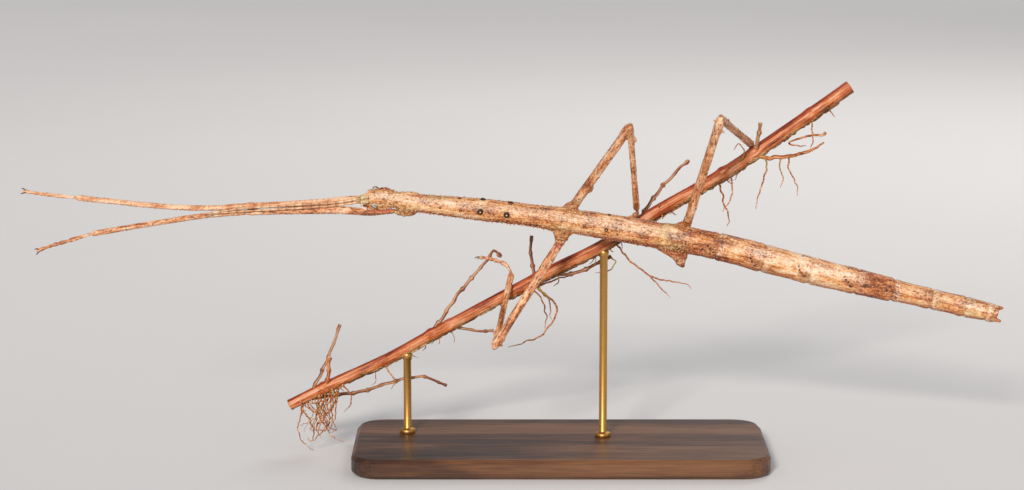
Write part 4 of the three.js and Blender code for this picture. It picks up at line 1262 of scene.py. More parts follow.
# %% Jaws and palps
def mouth_material(name, tones):
    """Smooth chitin, clouded from the first tone to the last."""
    made, tree = empty_material(name)
    place = add(tree, "Attribute", out=1, attribute_name="grain")
    spots = add(tree, "TexNoise", {"Vector": place, "Scale": 2.4, "Detail": 4.0})
    colour = add(tree, "ValToRGB", {0: spots}, stops=list(zip((0.32, 0.44, 0.54, 0.66), tones)))
    surface(tree, colour, 0.36, spots, 0.12, 0.6, IOR=CHITIN_IOR)
    return made


def jointed(points, thick, count, sides=16):
    """A palp or feeler of short joints, each a little wider at its far end."""
    line = smooth_line(points, 0.05)
    rows = []
    for i in range(count):
        start, end = i / count, (i + 1) / count
        rows += [(start + 0.01, thick * 0.72, thick * 0.72), (end - 0.25 / count, thick, thick),
                 (end - 0.02, thick * 0.8, thick * 0.8)]
    return tube(line, rows, BACK, sides, blur=0.05, ends=(0.1, 0.22))


MOUTH_AXES = (BACK, (0, 0.4, 1), (-1, 0, 0))
mouth_shapes = [ball(beside(-38.45, 0, -0.75), MOUTH_AXES, (0.45, 0.8, 0.42), 28, 16)]
for side, spread in ((-1, 1.0), (1, 0.55)):
    # A jaw, the rounded lobe beside it, a short inner palp.
    for place, sizes in (((-38.6, 0.5, -1.3), (0.5, 0.42, 0.62)),
                         ((-38.75, 1.3, -1.2), (0.42, 0.36, 0.5)),
                         ((-39.2, 1.3, -1.3), (0.26, 0.26, 0.42)),
                         ((-38.4, 1.8, -1.4), (0.3, 0.3, 0.34))):
        middle = beside(place[0], side * spread * place[1], place[2])
        mouth_shapes.append(ball(middle, MOUTH_AXES, sizes, 24, 14))
    mouth_shapes.append(jointed([beside(-38.3, side * 0.5, -1.7), beside(-39.0, side * 0.7, -1.9),
                                 beside(-39.6, side * 0.6, -1.7)], 0.34, 3))
# The long left palp is held up beside the foreleg, the right one is folded under.
palp_shapes = []
for places in ([(-38.0, -2.0, -0.9), (-38.75, -2.58, -0.1), (-39.55, -2.04, 0.0), (-40.4, -1.36, 0.1)],
               [(-38.2, 1.2, -1.6), (-38.9, 1.4, -1.8), (-39.6, 1.1, -1.7), (-40.1, 0.7, -1.4)]):
    palp_shapes.append(jointed([beside(*place) for place in places], 0.36, 4))
jaw_amber = mouth_material("mouthparts, smooth amber chitin",
                           ("#8a3512", "#cc6029", "#e8945c", "#f3cda4"))
palp_cream = mouth_material("palps, thin pale chitin", ("#a5703f", "#dcb488", "#f0d9b4", "#f9ebd2"))
for name, shapes, finish in (("jaws", mouth_shapes, jaw_amber), ("palps", palp_shapes, palp_cream)):
    mouth_points, mouth_faces = joined(shapes)
    mouth = put(name, mouth_points, mouth_faces)
    paint(mouth, "grain", mouth_points + 40)
    mouth.data.materials.append(finish)
    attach(mouth, "root")
    if name == "jaws":
        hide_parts("mouthparts")
    print(name, "points:", len(mouth_points))

# %% [markdown]
# ## The feelers
#
# A feeler starts with a flat broad joint, the scape, and goes on in about twenty thin joints.
# Each joint is pale with a dark far end, which reads as a ringed thread lying on the forelegs.

# %% The feelers
FEELERS = {
    "antenna_left": [
        (-38.4, -6.1, 54.3), (-39.3, -6.35, 54.15), (-40.2, -6.1, 54.0), (-42.1, -5.6, 53.64),
        (-44.1, -5.65, 53.4), (-46.9, -5.8, 53.1), (-50.1, -5.85, 52.9), (-54, -5.95, 52.66),
        (-62, -5.9, 52.2), (-67, -6.0, 51.9), (-69.2, -5.9, 51.7), (-71, -5.7, 50.9),
    ],
    "antenna_right": [
        (-38.4, -5.95, 55.3), (-39.3, -6.25, 55.02), (-40.2, -6.15, 54.76), (-41.7, -6.0, 54.4),
        (-44.8, -6.0, 53.9), (-48.1, -6.05, 53.7), (-54, -6.0, 53.35), (-59.6, -6.1, 53),
        (-64, -6.15, 52.7), (-71, -6.2, 51.6),
    ],
}
SCAPE_LENGTH = 1.9
JOINT_LENGTH = 1.65


def feeler_material():
    """Tan chitin with dark rings."""
    made, tree = empty_material("feeler, ringed tan chitin")
    grain, along, _, _ = stored(tree, "grain")
    spots = stretched(tree, grain, (0.6, 2.5, 2.5), Detail=4.0)
    colour = add(tree, "ValToRGB", {0: spots}, stops=[
        (0.3, "#a26a43"), (0.45, "#cf9a70"), (0.6, "#e3b88e"), (0.75, "#f0d6b0")])
    beat = add(tree, "Math", {0: along, 1: SCAPE_LENGTH}, operation="SUBTRACT")
    beat = add(tree, "Math", {0: beat, 1: JOINT_LENGTH}, operation="FLOORED_MODULO")
    ring = add(tree, "MapRange", {
        0: beat, 1: JOINT_LENGTH - 0.45, 2: JOINT_LENGTH - 0.15, 3: 0.0, 4: 0.5})
    past = add(tree, "MapRange", {0: along, 1: SCAPE_LENGTH, 2: SCAPE_LENGTH + 0.8})
    # The scape is mottled lichen green; its foot stays orange brown.
    green = add(tree, "MapRange", {
        0: along, 1: SCAPE_LENGTH + 0.9, 2: SCAPE_LENGTH - 0.1, 3: 0.0, 4: 1.0})
    past_foot = add(tree, "MapRange", {0: along, 1: 0.2, 2: 0.9})
    mottle = add(tree, "TexNoise", {"Vector": grain, "Scale": 2.4, "Detail": 3.0})
    lichen = add(tree, "ValToRGB", {0: mottle}, stops=[
        (0.38, "#7d4f2b"), (0.46, "#a0814f"), (0.55, "#b9a670"), (0.70, "#d3c08e")])
    colour = layered(tree, colour, (mask(tree, ring, past), "#6e3f20"),
                     (mask(tree, green, past_foot), lichen))
    surface(tree, colour, 0.5, spots, 0.1, 0.6, IOR=CHITIN_IOR)
    return made


def grain_of(line, top, points):
    """Along, across and over for points close to one line."""
    ahead, across, over = directions(line, top)
    near = ((points[:, None] - line[::4]) ** 2).sum(2).argmin(1) * 4
    gap = points - line[near]
    return np.column_stack([shares(line)[near] + (gap * ahead[near]).sum(1),
                            (gap * across[near]).sum(1), (gap * over[near]).sum(1)])


feeler_skin = feeler_material()
for name, places in FEELERS.items():
    line = smooth_line(places, 0.06)
    length = shares(line)[-1]
    rows = [(0, 0.8, 0.5), (0.2 * SCAPE_LENGTH, 1.1, 0.45), (0.75 * SCAPE_LENGTH, 1.05, 0.42),
            (SCAPE_LENGTH, 0.7, 0.4), (SCAPE_LENGTH + 0.15, 0.48, 0.42), (SCAPE_LENGTH + 0.5, 0.58, 0.52)]
    at = SCAPE_LENGTH + 0.9
    while at < length - 0.3:
        slim = 0.56 - 0.2 * at / length
        rows += [(at, slim * 0.86, slim * 0.86), (at + JOINT_LENGTH - 0.35, slim * 1.12, slim * 1.12)]
        at += JOINT_LENGTH
    rows = [(min(far / length, 1), wide, high) for far, wide, high in rows]
    points, faces = tube(line, rows, BACK, 16, blur=0.1, ends=(0.15, 0.4))
    feeler = put(name + "_thread", points, faces)
    paint(feeler, "grain", grain_of(line, BACK, points))
    feeler.data.materials.append(feeler_skin)
    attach(feeler, "root")
    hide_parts(name)
    print(name, "mm long:", round(length, 1))

# %% [markdown]
# ## Claws
#
# Each foot ends in two hooked claws of smooth horn, amber where thin and dark at the tip,
# with a soft pad between them.

# %% Claws
def claw_material():
    """Smooth horn, amber at the foot and dark at the tip."""
    made, tree = empty_material("claw, smooth dark horn")
    place, along, _, _ = stored(tree, "grain")
    clouds = add(tree, "TexNoise", {"Vector": place, "Scale": 3.0, "Detail": 3.0})
    colour = add(tree, "ValToRGB", {0: mixture(tree, along, (clouds, 0.5))}, stops=[
        (0.2, "#d9a070"), (0.6, "#9a5a2c"), (1.0, "#4a2412")])
    surface(tree, colour, 0.3, clouds, 0.04, 0.4, IOR=CHITIN_IOR)
    return made


claw_shapes, claw_grain = [], []
for name, leg in LEGS.items():
    line = leg["lines"]["foot"]
    ahead, sideways, upwards = [rows[-1] for rows in directions(line, leg["top"])]
    tip = line[-1] - ahead * 0.15
    for side in (-1, 1):
        def at(forward, outward, down):
            return tip + ahead * forward + sideways * side * outward - upwards * down
        claw = smooth_line([at(-0.2, 0.08, 0), at(0.35, 0.34, -0.05),
                            at(0.85, 0.55, 0.1), at(1.1, 0.58, 0.42)], 0.05)
        shape = tube(claw, [(0, 0.34, 0.34), (0.5, 0.27, 0.27), (1, 0.07, 0.07)],
                     leg["top"], 12, blur=0.05, ends=(0.1, 0.05))
        claw_shapes.append(shape)
        claw_grain.append(np.column_stack([grain_of(claw, leg["top"], shape[0])[:, 0], shape[0][:, 1:]]))
    pad = ball(tip + ahead * 0.3 - upwards * 0.1, (sideways, upwards, ahead), (0.34, 0.2, 0.42), 20, 12)
    claw_shapes.append(pad)
    claw_grain.append(np.column_stack([np.zeros(len(pad[0])), pad[0][:, 1:]]))
claw_points, claw_faces = joined(claw_shapes)
claws = put("claws_and_pads", claw_points, claw_faces)
paint(claws, "grain", np.vstack(claw_grain))
claws.data.materials.append(claw_material())
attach(claws, "root")
print("claws:", len(claw_shapes))

# %% [markdown]
# ## The perch: a cut vine stem
#
# The stem is a woody vine as thick as a pencil lead, smooth and red-brown on top
# and scaly grey-tan underneath, where its clinging roots grow.
# It is a tube whose radius swells at each node and wavers along its fibres.
# Both ends are clean cuts that show pale wood.

# %% The perch: a cut vine stem
STEM_LINE = [
    (-55.6, 6.2, 9.7), (-47.3, 6.0, 13.9), (-35.2, 5.6, 19.6), (-25.8, 5.3, 24.9),
    (-11.4, 4.5, 32.9), (-0.1, 3.1, 39.2), (7.1, 2.2, 42.9), (19.4, 1.5, 50.8), (32.7, 3.4, 58.1),
    (43.7, 4.7, 65.4), (58.5, 6.2, 75.6),
]
STEM_NODES = [
    (-48.5, 0.5), (-26.2, 0.45), (-22.6, 0.3), (-4.6, 0.4), (15.0, 0.45), (33.0, 0.5), (39.3, 0.4),
    (50.6, 0.25),
]
UP = np.array([0.0, 0.0, 1.0])
THIN, THIN_KNOT, STEM_KNOT = 1.0, 0.36, 0.8  # under this width a wood has short knots; half lengths


def woody(line, top, start_width, end_width, rough, knots, sides, seed):
    """A tube of bark with swellings and cut ends: points, faces, grain and how much is cut wood."""
    ahead, across, over = directions(line, top)
    far = shares(line)
    radius = np.interp(far / far[-1], [0, 1], [start_width / 2, end_width / 2])
    for place, size in knots:
        radius = radius + size * 0.5 * hill(far - place, THIN_KNOT if start_width < THIN else STEM_KNOT)
    angle = np.arange(sides) / sides * 2 * np.pi
    cos, sin = np.cos(angle), np.sin(angle)
    s, c, n = np.repeat(far, sides), np.tile(cos, len(far)), np.tile(sin, len(far))
    rows = np.column_stack([s, c * 2, n * 2])
    under = np.clip(-n, 0, 1)
    wave = (noise_at(rows, (0.10, 0.9, 0.9), seed) * 0.5
            + noise_at(rows, (0.35, 2.0, 2.0), seed + 5) * 0.35
            + noise_at(rows, (1.6, 1.6, 1.6), seed + 9) * (0.25 + 0.6 * under))
    size = np.repeat(radius, sides) * (1 + rough * wave)
    rings = (np.repeat(line, sides, 0) + np.repeat(across, sides, 0) * (c * size)[:, None]
             + np.repeat(over, sides, 0) * (n * size)[:, None]).reshape(len(far), sides, 3)
    rim_start, rim_end = rings[0], rings[-1]
    cut_start = [rim_start.mean(0) + (rim_start - rim_start.mean(0)) * k for k in (0.45, 0.9)]
    cut_end = [rim_end.mean(0) + (rim_end - rim_end.mean(0)) * k for k in (0.9, 0.45)]
    cuts = [ahead[0] * 0.04 * k for k in (1, 0)] + [-ahead[-1] * 0.04 * k for k in (0, 1)]
    full = np.concatenate([[cut_start[0] + cuts[0]], [cut_start[1] + cuts[1]], rings,
                           [cut_end[0] + cuts[2]], [cut_end[1] + cuts[3]]])
    points, faces = loft(full)
    grain_far = np.concatenate([[far[0]] * 2, far, [far[-1]] * 2])
    middle = np.concatenate([[line[0]] * 2, line, [line[-1]] * 2])
    a, o = [np.concatenate([[d[0]] * 2, d, [d[-1]] * 2]) for d in (across, over)]
    gap = full - middle[:, None]
    grain = np.stack([np.repeat(grain_far[:, None], sides, 1), (gap * a[:, None]).sum(2),
                      (gap * o[:, None]).sum(2)], -1)
    grain = np.vstack([grain.reshape(-1, 3), [[far[0], 0, 0], [far[-1], 0, 0]]])
    cut = np.zeros((len(full), sides))
    cut[:2] = cut[-2:] = 1
    return points, faces, grain, np.append(cut.ravel(), [1, 1])


stem_line = smooth_line(STEM_LINE, 0.2)
stem_far = shares(stem_line)
stem_knots = [(float(np.interp(x, stem_line[:, 0], stem_far)), size) for x, size in STEM_NODES]
stem_points, stem_faces, stem_grain, stem_cut = woody(
    stem_line, UP, 2.25, 2.72, 0.07, stem_knots, 40, 2.0)
print("stem points:", len(stem_points))

# %% [markdown]
# ## Loose scales
#
# Old bark lifts in small flakes, mostly on the underside. Each is a flattened ball that leans outwards.

# %% Loose scales
def scale_shapes(count):
    """Flakes at random places of the stem, and where they lie in its grain."""
    shapes, grains = [], []
    ahead, across, over = directions(stem_line, UP)
    for _ in range(count):
        i = int(dice.uniform(0.03, 0.97) * (len(stem_line) - 1))
        turn = math.radians(dice.normal(-84, 30))
        out = across[i] * math.cos(turn) + over[i] * math.sin(turn)
        radius = 1.12 + 0.24 * stem_far[i] / stem_far[-1]
        long, wide = dice.uniform(0.3, 1.2), dice.uniform(0.15, 0.4)
        lie = unit(ahead[i] * dice.choice((-1, 1)) + out * dice.uniform(0.02, 0.16))
        side = np.cross(out, lie)
        place = stem_line[i] + out * (radius + 0.02) + lie * long * 0.3
        flake = ball(place, (lie, side, np.cross(lie, side)), (long, wide, dice.uniform(0.1, 0.3)), 14, 7)
        shapes.append(flake)
        gap = flake[0] - stem_line[i]
        grains.append(np.column_stack([stem_far[i] + gap @ ahead[i], gap @ across[i], gap @ over[i]]))
    return shapes, grains


flakes, flake_grains = scale_shapes(340)
stem_all, stem_all_faces = joined([(stem_points, stem_faces)] + flakes)
flake_count = len(stem_all) - len(stem_points)
print("points with scales:", len(stem_all))

# %% [markdown]
# ## Bark
#
# The bark is smooth and slightly waxy like that of a young vine: red brown, with pale pink streaks
# and a redder upper edge. Below it is dull and scaly. Side twigs are browner and rougher,
# so the same tree of nodes is used with other colours and another share of scales.

# %% Bark
def bark(name, tones, scaly_from, scaly_to, gloss_low, gloss_high):
    """Vine bark: tones from dark to light, and where it turns scaly (0 is the side, 1 the underside)."""
    made, tree = empty_material(name)
    grain, _, across, over = stored(tree, "grain")
    cut = add(tree, "Attribute", out=2, attribute_name="cut")
    flake = add(tree, "Attribute", out=2, attribute_name="flake")
    long_streak = stretched(tree, grain, (0.09, 2.6, 2.6), Detail=5.0, Roughness=0.7)
    patch = stretched(tree, grain, (0.22, 0.6, 0.6), Detail=4.0)
    fine = stretched(tree, grain, (1.5, 4.0, 4.0), Detail=4.0, Roughness=0.65)
    level = mixture(tree, -0.45, (long_streak, 1.4), (patch, 0.6), (fine, 0.25))
    colour = add(tree, "ValToRGB", {0: level}, stops=list(zip((0.42, 0.54, 0.64, 0.74, 0.86), tones)))
    # Dull tan scales on the underside, in patches, and on the loose flakes.
    low = mixture(tree, 0.0, (over, -1.0), (patch, 2.2))
    low = mask(tree, (low, scaly_from + 1.1, scaly_to + 1.1))
    low = add(tree, "Math", {0: low, 1: flake}, operation="MAXIMUM")
    scales = add(tree, "ValToRGB", {0: mixture(tree, 0.0, (patch, 0.4), (fine, 0.6))}, stops=[
        (0.38, "#3f2413"), (0.46, "#7a4c27"), (0.54, "#a87746"), (0.62, "#cfa678"), (0.76, "#b39d5e")])
    # Pale wood with a brown rim on the cuts.
    distance = add(tree, "CombineXYZ", {0: across, 1: over})
    distance = add(tree, "VectorMath", {0: distance}, out=1, operation="LENGTH")
    rings = add(tree, "CombineXYZ", {0: distance})
    rings = add(tree, "TexWave", {"Vector": rings, "Scale": 2.2, "Distortion": 0.5})
    wood = add(tree, "ValToRGB", {0: mixture(tree, fine, (rings, 0.25))}, stops=[
        (0.35, "#a2794f"), (0.6, "#d9bb8c"), (0.85, "#eddcb8")])
    colour = layered(tree, colour, (mask(tree, (over, 0.6, 1.15, 0.8)), "#c9683a", "MULTIPLY"),
                     (low, scales), (cut, wood))
    height = mixture(tree, long_streak, (fine, mixture(tree, 0.3, (low, 1.2))))
    gloss = add(tree, "MapRange", {0: low, 1: 0.0, 2: 1.0, 3: gloss_low, 4: gloss_high})
    surface(tree, colour, gloss, height, 0.25, 0.7, IOR=BARK_IOR)
    return made


stem_bark = bark("bark, smooth waxy red vine", ("#4a1c0b", "#8f3f19", "#bc5d26", "#d17c3c", "#dfa586"),
                 0.5, 1.1, 0.38, 0.8)
twig_bark = bark("bark, dry grey-brown twig", ("#2f150c", "#62311c", "#8c4d2e", "#ad7450", "#cda582"),
                 0.0, 1.1, 0.6, 0.85)
stem = put("stem_bark_and_scales", stem_all, stem_all_faces)
paint(stem, "grain", np.vstack([stem_grain] + flake_grains))
paint(stem, "cut", np.concatenate([stem_cut, np.zeros(flake_count)]))
paint(stem, "flake", np.concatenate([np.zeros(len(stem_points)), np.ones(flake_count)]))
stem.data.materials.append(stem_bark)
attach(stem, "root")
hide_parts("perch_stem")
print("bark nodes:", len(stem_bark.node_tree.nodes))

# %% [markdown]
# ## Side twigs
#
# Short dead side twigs leave the stem; they are crooked, knotty and broken off at the tip.
# Each is the same woody tube with its own knots. Its foot is sunk into the stem.

# %% Side twigs
# Points in mm, then the width at the foot and at the tip.
TWIGS = {
    "gripped": ([(-26.4, 5.3, 25.0), (-21.1, 5.8, 32.5), (-16.3, 6.2, 38.5), (-14.9, 6.4, 40.0),
                 (-13.6, 6.7, 41.9), (-11.9, 7.0, 40.5)], 0.72, 0.5),
    "upright": ([(-51.0, 6.1, 12.4), (-47.1, 5.4, 21.0), (-45.0, 5.0, 26.9)], 0.68, 0.55),
    "stub": ([(-48.1, 6.0, 13.5), (-47.4, 4.2, 16.4), (-47.3, 3.2, 20.4)], 0.75, 0.7),
    "low": ([(-53.5, 6.1, 10.7), (-49.9, 8.0, 10.9), (-41.7, 8.3, 12.0), (-31.5, 8.2, 14.9),
             (-28.1, 8.0, 15.3), (-23.3, 7.6, 13.4)], 0.75, 0.5),
    "short": ([(-22.5, 5.1, 26.7), (-17.2, 6.6, 25.2), (-13.5, 7.2, 25.0)], 0.62, 0.45),
    "middle": ([(-5.1, 3.6, 36.6), (-6.0, 5.6, 41.2), (-5.7, 6.2, 45.1)], 0.7, 0.5),
    "hooked": ([(-3.7, 3.4, 37.5), (4.1, 5.0, 37.8), (10.4, 5.8, 40.8)], 0.72, 0.62),
    "high": ([(15.4, 1.6, 48.4), (20.0, 4.0, 54.7), (26.0, 5.4, 60.8)], 0.78, 0.55),
    "top": ([(39.2, 4.2, 62.4), (39.6, 2.3, 65.2), (40.1, 1.6, 69.0)], 0.9, 0.65),
}


def dress_wood(obj, grain, cut, finish):
    """What the bark reads, and its material."""
    paint(obj, "grain", grain)
    paint(obj, "cut", cut)
    paint(obj, "flake", np.zeros(len(grain)))
    obj.data.materials.append(finish)
    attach(obj, "root")


for number, (name, (places, start_width, end_width)) in enumerate(TWIGS.items()):
    line = smooth_line(places, 0.15)
    sway = np.column_stack([noise_at(line, 0.45, 3.7 * number + k) for k in range(3)])
    line = line + sway * 0.28 * np.minimum(1, shares(line) / 2)[:, None]
    length = shares(line)[-1]
    knots = [(at, dice.uniform(0.12, 0.5))
             for at in np.arange(dice.uniform(1.5, 3), length, dice.uniform(2.2, 3.4))]
    knots.append((length - 0.3, 0.2))
    points, faces, grain, cut = woody(line, UP, start_width, end_width, 0.16, knots, 24, 11.0 + number)
    twig = put("twig_" + name, points, faces)
    dress_wood(twig, grain + [60 * number, 0, 0], cut, stem_bark if name == "stub" else twig_bark)
    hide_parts("perch_twig_" + name)
print("twigs:", len(TWIGS))

# %% [markdown]
# ## Clinging roots
#
# The vine climbs with thin roots that grow from the underside of its nodes.
# They are wiry, orange brown and curl freely once they have let go.
# Each is a thin tube on a few points, with a little wander added by noise.

# %% Clinging roots
# Points in mm, then the thickness at the foot.
ROOTS = [
    ([(-53.4, 5.5, 11.3), (-52.8, 4.5, 9.0), (-51.4, 4.5, 6.9), (-50.6, 5.0, 4.2),
      (-51.1, 6.0, 2.1)], 0.4),
    ([(-49.7, 5.5, 12.6), (-48.9, 4.6, 10.3), (-49.3, 4.0, 7.9), (-50.1, 4.5, 5.2),
      (-49.3, 4.2, 3.2)], 0.42),
    ([(-47.2, 5.5, 13.8), (-46.0, 4.6, 11.5), (-47.2, 4.2, 9.1), (-48.9, 4.0, 7.0),
      (-49.7, 3.8, 4.1)], 0.36),
    ([(-45.2, 5.5, 14.7), (-43.3, 4.8, 12.7), (-42.7, 4.6, 10.7), (-44.2, 5.0, 8.5)], 0.36),
    ([(-35.7, 5.4, 18.9), (-34.8, 4.6, 16.6), (-33.6, 4.4, 14.9), (-34.7, 4.8, 13.4)], 0.34),
    ([(-4.7, 3.9, 36.2), (-3.9, 4.6, 34.1), (-2.0, 4.8, 32.4), (-0.8, 4.8, 31.0), (-0.6, 4.8, 29.5),
      (-1.6, 4.6, 27.4), (-2.9, 4.4, 25.8), (-4.1, 4.2, 24.6), (-6.5, 4.0, 23.6), (-9.0, 3.8, 22.8),
      (-10.6, 4.0, 22.4)], 0.46),
    ([(-5.9, 4.0, 35.6), (-4.1, 5.0, 33.9), (-2.9, 5.2, 32.7), (-2.2, 5.2, 31.3), (-2.0, 5.0, 29.5),
      (-1.8, 4.7, 27.8)], 0.38),
    ([(-7.0, 4.1, 35.0), (-4.7, 4.8, 33.5), (-3.7, 5.0, 32.0), (-3.1, 4.9, 30.1), (-2.8, 4.8, 28.2),
      (-3.1, 4.5, 26.2)], 0.38),
    ([(10.8, 2.3, 44.6), (13.0, 3.8, 41.7), (14.6, 4.0, 40.0), (16.5, 4.0, 38.4), (18.3, 4.0, 37.1),
      (20.8, 4.2, 36.3), (23.4, 4.3, 35.8), (25.9, 4.2, 35.4), (26.7, 4.0, 34.4)], 0.42),
    ([(18.3, 4.0, 37.1), (19.7, 4.0, 35.5), (21.2, 4.0, 34.0), (22.4, 3.9, 32.8)], 0.32),
    ([(31.4, 3.2, 57.0), (32.4, 2.0, 55.2), (33.0, 1.6, 52.2), (34.1, 1.8, 49.5),
      (33.7, 2.0, 47.8)], 0.42),
    ([(34.0, 3.5, 58.6), (34.8, 2.2, 56.4), (34.2, 2.0, 53.1), (32.6, 2.0, 50.7)], 0.36),
    ([(40.6, 4.2, 63.0), (41.7, 3.2, 60.1), (40.9, 3.0, 56.7), (39.8, 3.0, 53.0),
      (39.6, 3.2, 51.1)], 0.40),
    ([(46.3, 3.3, 61.9), (46.0, 3.6, 60.0), (46.4, 3.6, 58.6), (47.9, 3.6, 55.7),
      (48.1, 3.8, 53.7)], 0.36),
    ([(44.4, 3.3, 61.8), (44.2, 3.2, 59.6), (45.0, 3.4, 57.4), (44.6, 3.4, 55.5)], 0.32),
    ([(35.6, 3.6, 60.4), (36.5, 2.0, 61.7), (36.9, 1.5, 63.4), (35.7, 1.6, 64.6),
      (34.7, 2.0, 63.3)], 0.36),
    ([(50.6, 5.3, 69.4), (50.8, 4.2, 67.5), (51.0, 4.0, 65.1), (50.2, 4.2, 62.6)], 0.36),
    ([(53.6, 5.2, 66.4), (53.3, 5, 66.0), (50.8, 4.6, 65.9), (48.5, 4.4, 65.35), (46.9, 4.6, 64.8),
      (46.4, 4.8, 64.3), (47.1, 4.8, 63.9), (49.5, 4.8, 63.9)], 0.5),
    ([(10.3, 5.7, 40.9), (11.2, 5.4, 39.9), (10.6, 5.2, 38.5), (9.4, 5.0, 37.8), (8.2, 5.0, 37.5),
      (7.1, 5.0, 37.6)], 0.32),
    ([(9.4, 5.0, 37.8), (8.9, 5.0, 36.6), (8.8, 5.0, 35.7), (8.2, 5.0, 34.7)], 0.26),
    ([(-8.4, 4.2, 34.4), (-4.1, 4.9, 34.9), (-1.0, 5.3, 36.1), (2.4, 5.4, 36.9)], 0.5),
    ([(38.5, 4.0, 61.6), (40.3, 3.6, 61.7), (42.3, 3.0, 61.5), (46.3, 3.0, 62.0), (50.7, 3.2, 63.2),
      (53.2, 3.4, 64.6)], 0.95),
    ([(25.4, 2.1, 54.2), (26.9, 1.5, 52.2), (26.1, 1.4, 50.4)], 0.34),
    ([(26.8, 2.0, 53.6), (23.4, 1.2, 51.5), (19.8, 1.2, 49.2)], 0.26),
]


def root_material():
    """Wiry orange-brown root skin, greened here and there by moss."""
    made, tree = empty_material("root, wiry and dry")
    grain = add(tree, "Attribute", out=1, attribute_name="grain")
    wander = stretched(tree, grain, (0.8, 3.0, 3.0), Detail=4.0)
    colour = add(tree, "ValToRGB", {0: wander}, stops=[
        (0.34, "#5f2e14"), (0.46, "#a55a2a"), (0.56, "#c88247"), (0.68, "#dfb887")])
    moss = add(tree, "TexNoise", {"Vector": grain, "Scale": 0.11, "Detail": 3.0})
    moss = add(tree, "MapRange", {0: moss, 1: 0.55, 2: 0.64, 3: 0.0, 4: 0.7})
    surface(tree, layered(tree, colour, (moss, "#97913c")), 0.62, wander, 0.1, 0.6, IOR=BARK_IOR)
    return made


root_skin = root_material()
root_shapes, root_grain = [], []
print("roots placed by hand:", len(ROOTS))

# %% [markdown]
# ## Growing them
#
# The known roots come first, then short curls along the underside and a dense tuft at the low end,
# each with a place, a bend and a thickness dealt at random.

# %% Growing them
def grow_root(places, thick, wander=0.16, sides=8):
    """One root: a thin tube with a wandering line that ends in a fine tip."""
    line = smooth_line(places, 0.22)
    start = 5.1 * len(root_shapes)
    sway = np.column_stack([noise_at(line, 0.9, start + k) for k in (0, 31, 67)])
    line = line + sway * wander * 2 * np.minimum(1, shares(line))[:, None]
    line[:, 2] = np.maximum(line[:, 2], 0.5)
    rows = [(0, thick * 1.3, thick * 1.3), (0.06, thick, thick),
            (0.75, thick * 0.72, thick * 0.72), (1, thick * 0.3, thick * 0.3)]
    shape = tube(line, rows, (0.3, 1, 0.2), sides, blur=0.2)
    root_shapes.append(shape)
    root_grain.append(shape[0] + start)


for places, thick in ROOTS:
    grow_root(places, thick)
ahead, across, over = directions(stem_line, UP)
for _ in range(30):
    i = int(dice.uniform(0.04, 0.96) * (len(stem_line) - 1))
    turn = math.radians(dice.normal(-90, 45))
    out = across[i] * math.cos(turn) + over[i] * math.sin(turn)
    here, length = stem_line[i] + out * 1.0, dice.uniform(0.8, 2.6)
    bend = ahead[i] * dice.uniform(-1, 1) * length * 0.6 + np.array([0, 0, -0.35 * length])
    grow_root([here, here + out * 0.5 * length, here + out * 0.8 * length + bend * 0.6,
               here + out * 0.7 * length + bend * 1.2], dice.uniform(0.2, 0.34))
for _ in range(22):
    here = np.array([dice.uniform(-53.5, -44), dice.uniform(4.5, 7), 0])
    here[2] = np.interp(here[0], stem_line[:, 0], stem_line[:, 2]) - 0.9
    goal = np.array([-48.8, 5, 5.4]) + dice.normal(0, 1, 3) * (2.2, 1.2, 1.6)
    between = (here + goal) / 2 + dice.normal(0, 1.0, 3)
    grow_root([here, between, goal, goal + dice.normal(0, 0.9, 3)], dice.uniform(0.2, 0.36), 0.3)
root_points, root_faces = joined(root_shapes)
roots = put("clinging_roots", root_points, root_faces)
paint(roots, "grain", np.vstack(root_grain))
roots.data.materials.append(root_skin)
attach(roots, "root")
print("roots:", len(root_shapes), "triangles:", sum(len(f) - 2 for f in root_faces))

# %% [markdown]
# ## The stand
#
# The base is a small oiled walnut board; two brushed brass rods hold the stem.
# The board's solid already has the right shape, so it keeps its mesh and gets a soft edge and a finish.
# The rods are turned: a foot collar, a straight shaft and a small cup under the stem.

# %% The stand
def walnut():
    """Oiled walnut: brown, with long pores and darker growth rings; satin."""
    made, tree = empty_material("walnut, planed and oiled")
    place = add(tree, "TexCoord", out=3)
    waves = stretched(tree, place, (14, 150, 150), Detail=5.0, Distortion=0.6)
    pores = stretched(tree, place, (120, 2600, 2600), Detail=2.0)
    colour = add(tree, "ValToRGB", {0: mixture(tree, waves, (pores, 0.3))}, stops=[
        (0.48, "#2e1a10"), (0.60, "#4b2d1b"), (0.70, "#674229"), (0.82, "#80583a")])
    gloss = add(tree, "MapRange", {0: pores, 1: 0.35, 2: 0.65, 3: 0.46, 4: 0.34})
    surface(tree, colour, gloss, pores, 0.05, 0.35, IOR=OIL_IOR)
    return made


def brass():
    """Brass rod, brushed round and lacquered."""
    made, tree = empty_material("brass, turned and brushed")
    lines = stretched(tree, add(tree, "TexCoord", out=3), (300, 300, 9000), Detail=3.0)
    colour = add(tree, "ValToRGB", {0: lines}, stops=[(0.3, "#c7964f"), (0.7, "#cf9f59")])
    gloss = add(tree, "MapRange", {0: lines, 1: 0.3, 2: 0.7, 3: 0.40, 4: 0.46})
    surface(tree, colour, gloss, lines, 0.003, 0.1, Metallic=1.0)
    return made


